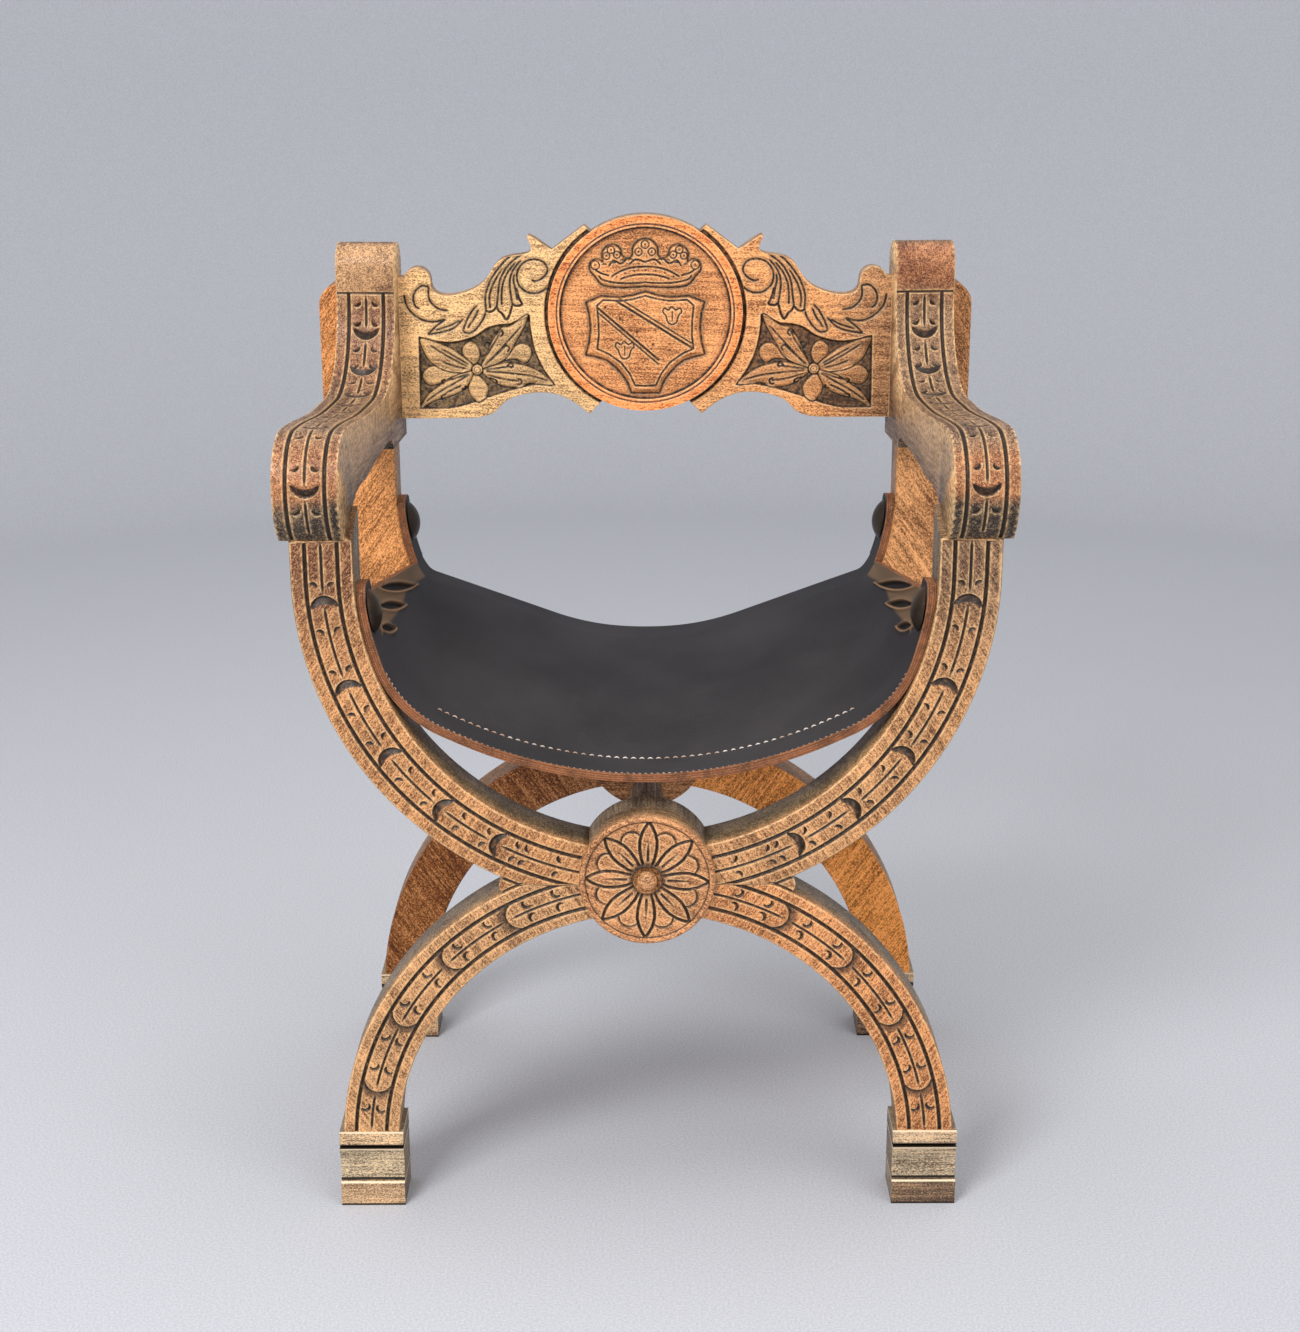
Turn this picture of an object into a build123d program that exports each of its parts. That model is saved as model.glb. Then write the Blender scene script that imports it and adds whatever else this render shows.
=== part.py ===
from build123d import *
from math import acos, asin, cos, degrees, radians, sin, sqrt, tan
import os

os.makedirs("parts", exist_ok=True)

# Savonarola armchair: a front and a rear frame of crossing arches, joined by a turned stretcher
# between their hubs, with two armrests, a carved back board and a leather sling seat.
# Millimetres. +X is the chair's right as one faces it, -Y its front, +Z up, origin on the floor.
# A depth is measured rearwards from the front face of the front frame.

# ---- driving sizes -------------------------------------------------------------------------
frame_thickness = 48.0
frame_pitch = 352.0              # front face to front face of the two frames

hub_height = 331.0
hub_radius = 61.5
bowl_outer_radius = 310.0        # of the upper ribs' arcs
rib_width = 55.0
rib_drop = 29.0                  # of the ribs' lowest point below the hub's centre
arch_outer_radius = 286.0        # of the legs' arcs
leg_width = 52.0
leg_rise = 17.0                  # of the legs' highest point above the hub's centre
edge_break = 1.2                 # small bevel along sawn edges

fork_leaf_centre = 126.0         # distance of the leaf's round tip from the chair's middle
fork_leaf_radius = 8.5

hub_disc_thickness = 28.0
rosette_projection = 8.0         # of the rosette in front of the frame's face
rosette_rim_width = 5.0
rosette_sink = 1.5
button_radius = 9.0
button_height = 9.0
button_rim_height = 3.0
button_seat_radius = 13.0
button_seat_depth = 3.0

foot_height = 75.0
foot_projection = 4.0            # of the foot's moulding beyond the leg's faces
foot_plinth_height = 22.0
foot_plinth_lip = 3.0
foot_cove_depth = 5.0
foot_groove_height = 60.0
foot_groove_width = 3.0
foot_groove_depth = 7.0

arm_width = 57.0
arm_inset = 7.0                  # of its inner face from the rib's, at the front
arm_toe_in = 20.0                # each armrest comes this much nearer the middle at the rear
arm_overhang = 20.0              # of the scroll in front of the frame
arm_joint_rise = 33.0            # of the front rib's sloping joint above the centre of its arc
arm_joint_slope = 21.0           # rise of that joint across the frame's thickness
arm_scroll_radius = 46.0
arm_scroll_rise = 47.0           # of the scroll's centre above the joint's front edge
arm_chin_angle = 35.0            # where the chin below the scroll bulges most
arm_hollow_depth = 175.0         # where the top of the armrest becomes level
arm_hollow_drop = 9.0            # of that level part below the scroll's top
arm_sweep_radius = 85.0
arm_upright_thickness = 46.0
arm_upright_rise = 137.0         # of the upright's top above the level part
arm_heel_rise = 6.0              # of the heel's underside above the joint's rear edge
arm_heel_length = 82.0
arm_notch_width = 15.0
arm_notch_rise = 12.0            # above the heel's underside
arm_cusp_depth = 115.0
arm_cusp_rise = 9.0              # above the joint's rear edge
arm_scallop_rise = 2.5

post_top_drop = 43.0             # of the rear post's top below the armrest's
post_flare = 15.0                # of its outer side beyond the rib's
post_shoulder_rise = 33.0        # above the heel of the armrest
post_corner_radius = 22.0
post_inner_corner_radius = 8.0

board_thickness = 22.0
board_lower_edge_rise = 19.5     # above the heel of the armrest
board_pattern_reach = 243.2      # half the board's length, for which its outline is drawn
# Half of the board's outline as distances from the medallion's centre: the medallion's lower
# tab and the dipped lower edge beside it, then the horn, valley and volute, and the upper tab.
board_lower_tab = ((44.0, -87.5), (56.0, -100.0))
board_lower_knots = ((99.0, -78.5), (140.0, -87.5))
board_lower_edge_start = 182.0
board_lower_heading = (0.75, 0.65)
board_horn = ((237.5, 35.5), (224.5, 45.0), (211.5, 31.5))
board_upper_knots = ((200.0, 18.0), (182.0, 19.5), (157.0, 33.5), (138.0, 54.5), (112.0, 65.5))
board_volute_end = (92.0, 61.5)
board_volute_heading = (-0.8, -0.6)
board_upper_tab = ((60.0, 85.5), (52.0, 78.5))
medallion_rise = 104.0           # of the medallion's centre above the board's lower edge
medallion_radius = 96.0
medallion_projection = 6.0
medallion_rim_width = 11.0
medallion_sink = 5.0

leather_thickness = 4.2
lining_thickness = 3.6
layer_gap = 0.2
sling_inset = 5.0                # of the leather's front and rear edges inside the frames' faces
# Underside of the sling at each frame: rise of its middle above the lowest point of the ribs'
# inner arcs, how much the radius of its middle exceeds theirs, slope of the straight run beside
# it, and radius of the turn into the ear.
sling_front_rise = 64.0
sling_front_excess = 145.0
sling_front_angle = 25.0
sling_front_turn = 110.0
sling_rear_rise = 90.5
sling_rear_excess = 45.0
sling_rear_angle = 20.0
sling_rear_turn = 35.0
ear_top_drop = 10.0              # below the centre of the ribs' arcs
edge_front_cutback = 14.0        # of the sheet's side edge along the rib below a front ear's top
edge_rear_reach = 5.5            # of that edge beyond the turn, in front of a rear ear
ear_inset = 1.0                  # of an ear's inward edge inside the rib's inward face
seat_clearance = 0.3             # between the sling and the curved ribs

stud_drop = 37.0                 # below the centre of the ribs' arcs
stud_radius = 20.0
stud_dome_height = 9.0
stud_shank_radius = 2.5
stud_shank_length = 30.0

stretcher_collar_radius = 15.0
stretcher_collar_length = 12.0
stretcher_bead_radius = 13.5
stretcher_neck_radius = 9.5
stretcher_belly_radius = 17.0
stretcher_tenon_radius = 9.0
stretcher_tenon_length = 20.0

screw_radius = 2.5
screw_head_radius = 5.0
hub_screw_length = 62.0
arm_screw_length = 80.0
arm_screw_rises = (33.0, 123.0)  # above the heel of the armrest
dowel_radius = 5.0
dowel_length = 50.0
board_dowel_radius = 4.0
board_dowel_length = 36.0
board_dowel_rises = (23.5, 83.5) # above the board's lower edge
foot_dowel_length = 40.0

# ---- derived places ------------------------------------------------------------------------
bowl_inner_radius = bowl_outer_radius - rib_width
bowl_centre_height = hub_height - rib_drop + bowl_outer_radius
arch_inner_radius = arch_outer_radius - leg_width
arch_centre_height = hub_height + leg_rise - arch_outer_radius
foot_width = leg_width + 2 * foot_projection
arm_inner_front = bowl_inner_radius + arm_inset
post_outer_reach = bowl_outer_radius + post_flare
rear_face_depth = frame_pitch + frame_thickness
button_projection = rosette_projection + button_height - button_seat_depth
front_y = arm_overhang - (arm_overhang + rear_face_depth + button_projection) / 2
sides = {"left": -1, "right": 1}
frames = {"front": 0.0, "rear": frame_pitch}
rib_middle = (bowl_inner_radius + bowl_outer_radius) / 2
leg_middle = (arch_inner_radius + arch_outer_radius) / 2
arm_skew = asin(arm_toe_in / frame_pitch)
board_front_depth = frame_pitch - board_thickness
ear_width = frame_thickness - sling_inset - ear_inset
seat_build_up = lining_thickness + layer_gap + leather_thickness

arm_seat_front_height = bowl_centre_height + arm_joint_rise
arm_seat_rear_height = arm_seat_front_height + arm_joint_slope
arm_scroll_height = arm_seat_front_height + arm_scroll_rise
arm_hollow_height = arm_scroll_height + arm_scroll_radius - arm_hollow_drop
arm_top_height = arm_hollow_height + arm_upright_rise
arm_heel_height = arm_seat_rear_height + arm_heel_rise
arm_notch_height = arm_heel_height + arm_notch_rise
arm_cusp_height = arm_seat_rear_height + arm_cusp_rise
arm_screw_heights = [arm_heel_height + rise for rise in arm_screw_rises]
post_top_height = arm_top_height - post_top_drop
post_shoulder_height = arm_heel_height + post_shoulder_rise
board_lower_edge_height = arm_heel_height + board_lower_edge_rise
board_dowel_heights = [board_lower_edge_height + rise for rise in board_dowel_rises]
medallion_height = board_lower_edge_height + medallion_rise
stud_height = bowl_centre_height - stud_drop

# Height at which the two frames' outer arcs cross: the joint between each rib and its leg.
joint_height = (
    arch_outer_radius**2
    - arch_centre_height**2
    - bowl_outer_radius**2
    + bowl_centre_height**2
) / (2 * (bowl_centre_height - arch_centre_height))

CENTRED = (Align.CENTER, Align.CENTER, Align.CENTER)
STANDING = (Align.CENTER, Align.CENTER, Align.MIN)


def facing_plane(depth):
    """Upright plane across the chair, seen from the front, at a depth behind its front face."""
    return Plane.XZ.offset(-(front_y + depth))


def side_plane(reach):
    """Upright plane from front to rear: local x is the depth, local y the height."""
    return Plane(origin=(reach, front_y, 0), x_dir=(0, 1, 0), z_dir=(1, 0, 0))


def arm_plane(side):
    """Upright plane of an armrest's inner face: local x runs rearwards, local y up."""
    heading = Vector(-side * sin(arm_skew), cos(arm_skew), 0)
    return Plane(
        origin=(side * arm_inner_front, front_y, 0),
        x_dir=heading,
        z_dir=heading.cross(Vector(0, 0, 1)),
    )


def arm_seat_plane(side):
    """Sloping plane on which the front rib carries the armrest, with its normal upwards."""
    inner_face = arm_plane(side)
    start = inner_face.from_local_coords(Vector(0, arm_seat_front_height, 0))
    end = inner_face.from_local_coords(Vector(frame_thickness, arm_seat_rear_height, 0))
    return Plane(origin=start, x_dir=end - start, z_dir=inner_face.z_dir.cross(end - start))


def arm_inner_reach(depth):
    """Distance of the armrest's inner face from the chair's middle, at a depth."""
    return arm_inner_front - depth * tan(arm_skew)


def bar(position, direction, radius, length):
    """Straight round bar centred on a point: a dowel, a shank or the hole for one of them."""
    cylinder = Cylinder(radius, length, align=CENTRED, mode=Mode.PRIVATE)
    return Plane(origin=position, z_dir=direction) * cylinder


def dome_middle(radius, height):
    """Point halfway along the arc of a round cap: its distance from the axis and its height."""
    sphere_radius = (radius**2 + height**2) / (2 * height)
    half_angle = asin(radius / sphere_radius) / 2
    return sphere_radius * sin(half_angle), height - sphere_radius * (1 - cos(half_angle))


def side_align(side):
    """Alignment of a rectangle that reaches from the chair's middle to one side."""
    return Align.MAX if side < 0 else Align.MIN


def save(piece, name):
    piece.part.label = name
    export_step(piece.part, f"parts/{name}.step")


# ---- joinery -------------------------------------------------------------------------------
rib_end_height = bowl_centre_height - sqrt(bowl_inner_radius**2 - hub_radius**2)
leg_end_height = arch_centre_height + sqrt(arch_inner_radius**2 - hub_radius**2)
hub_dowel_heights = {
    "rib": (joint_height + rib_end_height) / 2,
    "leg": (joint_height + leg_end_height) / 2,
}


def hub_back_depth(frame):
    """Depth of the inward half of a hub, the disc that carries the dowels and the stretcher."""
    if frame == "front":
        return frame_thickness - hub_disc_thickness
    return frame_pitch


def hub_dowel(frame, side, member):
    """Level dowel across the curved joint between a hub and the end of a rib or leg."""
    height = hub_dowel_heights[member]
    reach = sqrt(hub_radius**2 - (height - hub_height) ** 2)
    depth = hub_back_depth(frame) + hub_disc_thickness / 2
    return bar((side * reach, front_y + depth, height), (1, 0, 0), dowel_radius, dowel_length)


def arm_dowel(side):
    """Upright dowel between a front rib and its armrest."""
    middle = (arm_seat_front_height + arm_seat_rear_height) / 2
    place = (side * rib_middle, front_y + frame_thickness / 2, middle)
    return bar(place, (0, 0, 1), dowel_radius, dowel_length)


def foot_dowel(side, frame):
    """Upright dowel between a leg and its foot."""
    place = (side * leg_middle, front_y + frames[frame] + frame_thickness / 2, foot_height)
    return bar(place, (0, 0, 1), dowel_radius, foot_dowel_length)


def board_dowel(side, height):
    """Level dowel between the end of the back board and the armrest's inner face."""
    depth = board_front_depth + board_thickness / 2
    place = (side * arm_inner_reach(depth), front_y + depth, height)
    return bar(place, (1, 0, 0), board_dowel_radius, board_dowel_length)


def countersunk_screw(length):
    """Wood screw along +Z with its head's flat face at the origin."""
    with BuildPart() as screw:
        Cylinder(screw_radius, length, align=STANDING)
        Cone(screw_head_radius, screw_radius, screw_head_radius - screw_radius, align=STANDING)
    return screw.part


def arm_screw(side, height):
    """Screw through the rear post into the back end of the armrest."""
    reach = arm_inner_reach(frame_pitch) + arm_width / 2
    place = Plane(origin=(side * reach, front_y + rear_face_depth, height), z_dir=(0, -1, 0))
    return place * countersunk_screw(arm_screw_length)


def hub_screw(frame):
    """Screw through a hub's outward disc into the stretcher's tenon, hidden by the button."""
    head_depth = -rosette_projection + button_seat_depth
    if frame == "front":
        place = Plane(origin=(0, front_y + head_depth, hub_height), z_dir=(0, 1, 0))
    else:
        head_depth = rear_face_depth - head_depth
        place = Plane(origin=(0, front_y + head_depth, hub_height), z_dir=(0, -1, 0))
    return place * countersunk_screw(hub_screw_length)


def stud_plane(side, frame):
    """Plane on the seat leather under a stud, with its normal towards the chair's middle."""
    drop = bowl_centre_height - stud_height
    reach = sqrt(bowl_inner_radius**2 - drop**2)
    leather_radius = bowl_inner_radius - seat_clearance - seat_build_up
    sag = leather_radius - sqrt(leather_radius**2 - stud_radius**2)
    lift = 2 * seat_clearance + seat_build_up + sag
    return Plane(
        origin=(side * reach, front_y + frames[frame] + frame_thickness / 2, stud_height),
        x_dir=(0, 1, 0),
        z_dir=(-side * reach, 0, drop),
    ).offset(lift)


def stud_hole(side, frame):
    """Hole left by a stud's shank in the rib and in the seat's two layers."""
    place = stud_plane(side, frame)
    return bar(place.origin, place.z_dir, stud_shank_radius, 2 * stud_shank_length)


# ---- ribs and legs -------------------------------------------------------------------------
def half_ring(side, centre_height, outer_radius, inner_radius, low, high):
    """One side of a ring about the chair's middle, between two heights."""
    with BuildSketch() as ring:
        with Locations((0, centre_height)):
            Circle(outer_radius)
            Circle(inner_radius, mode=Mode.SUBTRACT)
        with Locations((0, low)):
            Rectangle(
                outer_radius,
                high - low,
                align=(side_align(side), Align.MIN),
                mode=Mode.INTERSECT,
            )
        with Locations((0, hub_height)):
            Circle(hub_radius, mode=Mode.SUBTRACT)
    return ring.sketch


def rib_blank(side, frame):
    """Upper rib below the centre of its arc, with the leaf that fills the fork above the leg."""
    arc = half_ring(
        side,
        bowl_centre_height,
        bowl_outer_radius,
        bowl_inner_radius,
        joint_height,
        bowl_centre_height,
    )
    with BuildPart() as blank:
        with BuildSketch(facing_plane(frames[frame])):
            with Locations((side * fork_leaf_centre, joint_height)):
                Circle(fork_leaf_radius)
            with Locations((side * (fork_leaf_centre + hub_radius) / 2, joint_height)):
                Rectangle(fork_leaf_centre - hub_radius, 2 * fork_leaf_radius)
            with Locations((0, arch_centre_height)):
                Circle(arch_outer_radius, mode=Mode.SUBTRACT)
            add(arc)
        extrude(amount=-frame_thickness)
    return blank.part


def break_long_edges(piece):
    """Bevel the arrises that run round the front and rear faces of a sawn board."""
    faces = piece.faces().filter_by(Axis.Y)
    arrises = ShapeList(
        edge
        for face in (faces.sort_by(Axis.Y)[0], faces.sort_by(Axis.Y)[-1])
        for edge in face.edges().filter_by(GeomType.CIRCLE)
        if edge.radius > fork_leaf_radius and edge.radius != hub_radius
    )
    chamfer(arrises, edge_break)


def front_rib(side):
    blank = rib_blank(side, "front")
    holes = [hub_dowel("front", side, "rib"), arm_dowel(side), stud_hole(side, "front")]
    with BuildPart() as rib:
        add(blank)
        with BuildSketch(facing_plane(0)):
            with Locations((side * rib_middle, bowl_centre_height)):
                Rectangle(
                    bowl_outer_radius - bowl_inner_radius,
                    arm_scroll_height - bowl_centre_height,
                    align=(Align.CENTER, Align.MIN),
                )
        extrude(amount=-frame_thickness)
        break_long_edges(rib)
        split(bisect_by=arm_seat_plane(side), keep=Keep.BOTTOM)
        add(holes, mode=Mode.SUBTRACT)
    return rib


def rear_rib(side):
    """Rear rib, whose top is a post that widens outwards behind the armrest."""
    blank = rib_blank(side, "rear")
    holes = [hub_dowel("rear", side, "rib"), stud_hole(side, "rear")]
    holes += [arm_screw(side, height) for height in arm_screw_heights]
    with BuildPart() as rib:
        add(blank)
        with BuildSketch(facing_plane(frame_pitch)) as post:
            with BuildLine():
                Line(
                    (side * bowl_outer_radius, bowl_centre_height),
                    (side * bowl_inner_radius, bowl_centre_height),
                )
                Line(
                    (side * bowl_inner_radius, bowl_centre_height),
                    (side * bowl_inner_radius, post_top_height),
                )
                Line(
                    (side * bowl_inner_radius, post_top_height),
                    (side * post_outer_reach, post_top_height),
                )
                Line(
                    (side * post_outer_reach, post_top_height),
                    (side * post_outer_reach, post_shoulder_height),
                )
                Spline(
                    (side * post_outer_reach, post_shoulder_height),
                    (side * bowl_outer_radius, bowl_centre_height),
                    tangents=[(0, -1), (0, -1)],
                )
            make_face()
            top_corners = post.vertices().group_by(Axis.Y)[-1].sort_by(Axis.X)
            outer = top_corners[0] if side < 0 else top_corners[-1]
            inner = top_corners[-1] if side < 0 else top_corners[0]
            fillet(outer, post_corner_radius)
            fillet(inner, post_inner_corner_radius)
        extrude(amount=-frame_thickness)
        break_long_edges(rib)
        add(holes, mode=Mode.SUBTRACT)
    return rib


def leg(side, frame):
    arc = half_ring(
        side,
        arch_centre_height,
        arch_outer_radius,
        arch_inner_radius,
        foot_height,
        joint_height,
    )
    holes = [hub_dowel(frame, side, "leg"), foot_dowel(side, frame)]
    with BuildPart() as part:
        with BuildSketch(facing_plane(frames[frame])):
            add(arc)
        extrude(amount=-frame_thickness)
        break_long_edges(part)
        add(holes, mode=Mode.SUBTRACT)
    return part


def foot(side, frame):
    """Moulded block: plinth, cove, deep groove and top band on the frame's outward face."""
    hole = foot_dowel(side, frame)
    with BuildPart() as block:
        with BuildSketch(side_plane(side * leg_middle)):
            with BuildLine():
                cove_bottom = (0, foot_plinth_height + foot_plinth_lip)
                cove_top = (-foot_projection, foot_groove_height)
                Polyline(
                    (frame_thickness, foot_height),
                    (frame_thickness, 0),
                    (-foot_projection, 0),
                    (-foot_projection, foot_plinth_height),
                    (-foot_projection / 2, foot_plinth_height + foot_plinth_lip),
                    cove_bottom,
                )
                ThreePointArc(
                    cove_bottom,
                    (foot_cove_depth - foot_projection, (cove_bottom[1] + cove_top[1]) / 2),
                    cove_top,
                )
                Polyline(
                    cove_top,
                    (foot_groove_depth - foot_projection, foot_groove_height),
                    (foot_groove_depth - foot_projection, foot_groove_height + foot_groove_width),
                    (-foot_projection, foot_groove_height + foot_groove_width),
                    (0, foot_height),
                    (frame_thickness, foot_height),
                )
            make_face()
        extrude(amount=foot_width / 2, both=True)
        if frame == "rear":
            mirror(about=facing_plane(rear_face_depth / 2), mode=Mode.REPLACE)
        add(hole, mode=Mode.SUBTRACT)
    return block


for side_name, side in sides.items():
    save(front_rib(side), f"front_{side_name}_rib")
    save(rear_rib(side), f"rear_{side_name}_rib")
    for frame in frames:
        save(leg(side, frame), f"{frame}_{side_name}_leg")
        save(foot(side, frame), f"{frame}_{side_name}_foot")

# ---- hubs ----------------------------------------------------------------------------------
hub_axis = Axis((0, front_y, hub_height), (0, 1, 0))


def hub(frame):
    """Inward disc of a hub, to which the ribs, the legs and the stretcher are dowelled."""
    holes = [
        hub_dowel(frame, side, member) for side in sides.values() for member in hub_dowel_heights
    ]
    with BuildPart() as disc:
        with BuildSketch(facing_plane(hub_back_depth(frame))):
            with Locations((0, hub_height)):
                Circle(hub_radius)
                Circle(stretcher_tenon_radius, mode=Mode.SUBTRACT)
        extrude(amount=-hub_disc_thickness)
        add(holes, mode=Mode.SUBTRACT)
    return disc


def rosette(frame):
    """Outward disc of a hub, with a raised rim and a sunk seat for its button."""
    thickness = rosette_projection + frame_thickness - hub_disc_thickness
    hole = hub_screw(frame)
    with BuildPart() as disc:
        with BuildSketch(facing_plane(-rosette_projection)):
            with Locations((0, hub_height)):
                Circle(hub_radius)
        extrude(amount=-thickness)
        with BuildSketch(facing_plane(-rosette_projection)):
            with Locations((0, hub_height)):
                Circle(hub_radius - rosette_rim_width)
        extrude(amount=-rosette_sink, mode=Mode.SUBTRACT)
        with BuildSketch(facing_plane(-rosette_projection)):
            with Locations((0, hub_height)):
                Circle(button_seat_radius)
        extrude(amount=-button_seat_depth, mode=Mode.SUBTRACT)
        rim = disc.edges().filter_by(GeomType.CIRCLE).group_by(Axis.Y)[0]
        chamfer(rim, edge_break)
        if frame == "rear":
            mirror(about=facing_plane(rear_face_depth / 2), mode=Mode.REPLACE)
        add(hole, mode=Mode.SUBTRACT)
    return disc


def button(frame):
    """Domed turned button that covers the hub's screw."""
    seat_depth = -rosette_projection + button_seat_depth
    rim_depth = seat_depth - button_rim_height
    cap_radius, cap_height = dome_middle(button_radius, button_height - button_rim_height)
    with BuildPart() as dome:
        with BuildSketch(side_plane(0)):
            with BuildLine():
                Polyline(
                    (rim_depth, hub_height + button_radius),
                    (seat_depth, hub_height + button_radius),
                    (seat_depth, hub_height),
                    (seat_depth - button_height, hub_height),
                )
                ThreePointArc(
                    (seat_depth - button_height, hub_height),
                    (rim_depth - cap_height, hub_height + cap_radius),
                    (rim_depth, hub_height + button_radius),
                )
            make_face()
        revolve(axis=hub_axis)
        if frame == "rear":
            mirror(about=facing_plane(rear_face_depth / 2), mode=Mode.REPLACE)
    return dome


for frame in frames:
    save(rosette(frame), f"{frame}_rosette")
    save(hub(frame), f"{frame}_hub")
    save(button(frame), f"{frame}_button")

stretcher_holes = [hub_screw(frame) for frame in frames]
with BuildPart() as stretcher:
    hub_inner_depth = frame_thickness
    middle_depth = rear_face_depth / 2
    with BuildSketch(side_plane(0)):
        with BuildLine():
            Polyline(
                (middle_depth, hub_height),
                (hub_inner_depth - stretcher_tenon_length, hub_height),
                (hub_inner_depth - stretcher_tenon_length, hub_height + stretcher_tenon_radius),
                (hub_inner_depth, hub_height + stretcher_tenon_radius),
                (hub_inner_depth, hub_height + stretcher_collar_radius),
                (
                    hub_inner_depth + stretcher_collar_length,
                    hub_height + stretcher_collar_radius,
                ),
                (
                    hub_inner_depth + stretcher_collar_length,
                    hub_height + stretcher_neck_radius,
                ),
            )
            ThreePointArc(
                (
                    hub_inner_depth + stretcher_collar_length,
                    hub_height + stretcher_neck_radius,
                ),
                (
                    hub_inner_depth + 1.5 * stretcher_collar_length,
                    hub_height + stretcher_bead_radius,
                ),
                (
                    hub_inner_depth + 2 * stretcher_collar_length,
                    hub_height + stretcher_neck_radius,
                ),
            )
            Spline(
                (
                    hub_inner_depth + 2 * stretcher_collar_length,
                    hub_height + stretcher_neck_radius,
                ),
                (middle_depth, hub_height + stretcher_belly_radius),
                tangents=[(1, 0), (1, 0)],
            )
            Line((middle_depth, hub_height + stretcher_belly_radius), (middle_depth, hub_height))
        make_face()
    revolve(axis=hub_axis)
    mirror(about=facing_plane(middle_depth))
    add(stretcher_holes, mode=Mode.SUBTRACT)
save(stretcher, "centre_stretcher")

# ---- armrests ------------------------------------------------------------------------------
arm_rear_end = frame_pitch / cos(arm_skew)


def armrest(side):
    """Armrest sawn to its side outline: scroll, hollow, sweep and round-topped upright."""
    scroll_centre = arm_scroll_radius - arm_overhang
    scroll_top = arm_scroll_height + arm_scroll_radius
    upright_front = arm_rear_end - arm_upright_thickness
    sweep_start = upright_front - arm_sweep_radius
    sweep_end = arm_hollow_height + arm_sweep_radius
    top_radius = arm_upright_thickness / 2
    heel_front = arm_rear_end - arm_heel_length
    notch_depth = heel_front - arm_notch_width
    diagonal = sqrt(0.5)
    holes = [arm_dowel(side)]
    holes += [arm_screw(side, height) for height in arm_screw_heights]
    holes += [board_dowel(side, height) for height in board_dowel_heights]
    with BuildPart() as arm:
        with BuildSketch(arm_plane(side)):
            with BuildLine():
                ThreePointArc(
                    (0, arm_seat_front_height),
                    (
                        -arm_overhang * cos(radians(arm_chin_angle)),
                        (arm_scroll_height + arm_seat_front_height) / 2,
                    ),
                    (-arm_overhang, arm_scroll_height),
                )
                ThreePointArc(
                    (-arm_overhang, arm_scroll_height),
                    (
                        scroll_centre - arm_scroll_radius * diagonal,
                        arm_scroll_height + arm_scroll_radius * diagonal,
                    ),
                    (scroll_centre, scroll_top),
                )
                Spline(
                    (scroll_centre, scroll_top),
                    (arm_hollow_depth, arm_hollow_height),
                    tangents=[(1, 0), (1, 0)],
                )
                Line((arm_hollow_depth, arm_hollow_height), (sweep_start, arm_hollow_height))
                ThreePointArc(
                    (sweep_start, arm_hollow_height),
                    (
                        sweep_start + arm_sweep_radius * diagonal,
                        sweep_end - arm_sweep_radius * diagonal,
                    ),
                    (upright_front, sweep_end),
                )
                Line((upright_front, sweep_end), (upright_front, arm_top_height - top_radius))
                ThreePointArc(
                    (upright_front, arm_top_height - top_radius),
                    (upright_front + top_radius, arm_top_height),
                    (arm_rear_end, arm_top_height - top_radius),
                )
                Polyline(
                    (arm_rear_end, arm_top_height - top_radius),
                    (arm_rear_end, arm_heel_height),
                    (heel_front, arm_heel_height),
                )
                ThreePointArc(
                    (heel_front, arm_heel_height),
                    (
                        heel_front - arm_notch_width * (1 - diagonal),
                        arm_heel_height + (arm_notch_height - arm_heel_height) * diagonal,
                    ),
                    (notch_depth, arm_notch_height),
                )
                ThreePointArc(
                    (notch_depth, arm_notch_height),
                    (
                        (notch_depth + arm_cusp_depth) / 2,
                        (arm_notch_height + arm_cusp_height) / 2 + arm_scallop_rise,
                    ),
                    (arm_cusp_depth, arm_cusp_height),
                )
                ThreePointArc(
                    (arm_cusp_depth, arm_cusp_height),
                    (
                        (arm_cusp_depth + frame_thickness) / 2,
                        (arm_cusp_height + arm_seat_rear_height) / 2 + 2 * arm_scallop_rise,
                    ),
                    (frame_thickness, arm_seat_rear_height),
                )
                Line((frame_thickness, arm_seat_rear_height), (0, arm_seat_front_height))
            make_face()
        extrude(amount=side * arm_width)
        split(bisect_by=facing_plane(frame_pitch), keep=Keep.TOP)
        add(holes, mode=Mode.SUBTRACT)
    return arm


for side_name, side in sides.items():
    save(armrest(side), f"{side_name}_armrest")

# ---- back board ----------------------------------------------------------------------------
board_holes = [
    board_dowel(side, height) for side in sides.values() for height in board_dowel_heights
]


def board_point(across, rise):
    """Point of the outline, at distances from the medallion's centre, stretched to the board."""
    stretch = arm_inner_reach(board_front_depth) / board_pattern_reach
    return across * stretch, medallion_height + rise


def tab_point(across, rise):
    """Corner of a medallion's tab, at distances from the medallion's centre."""
    return across, medallion_height + rise


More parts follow.
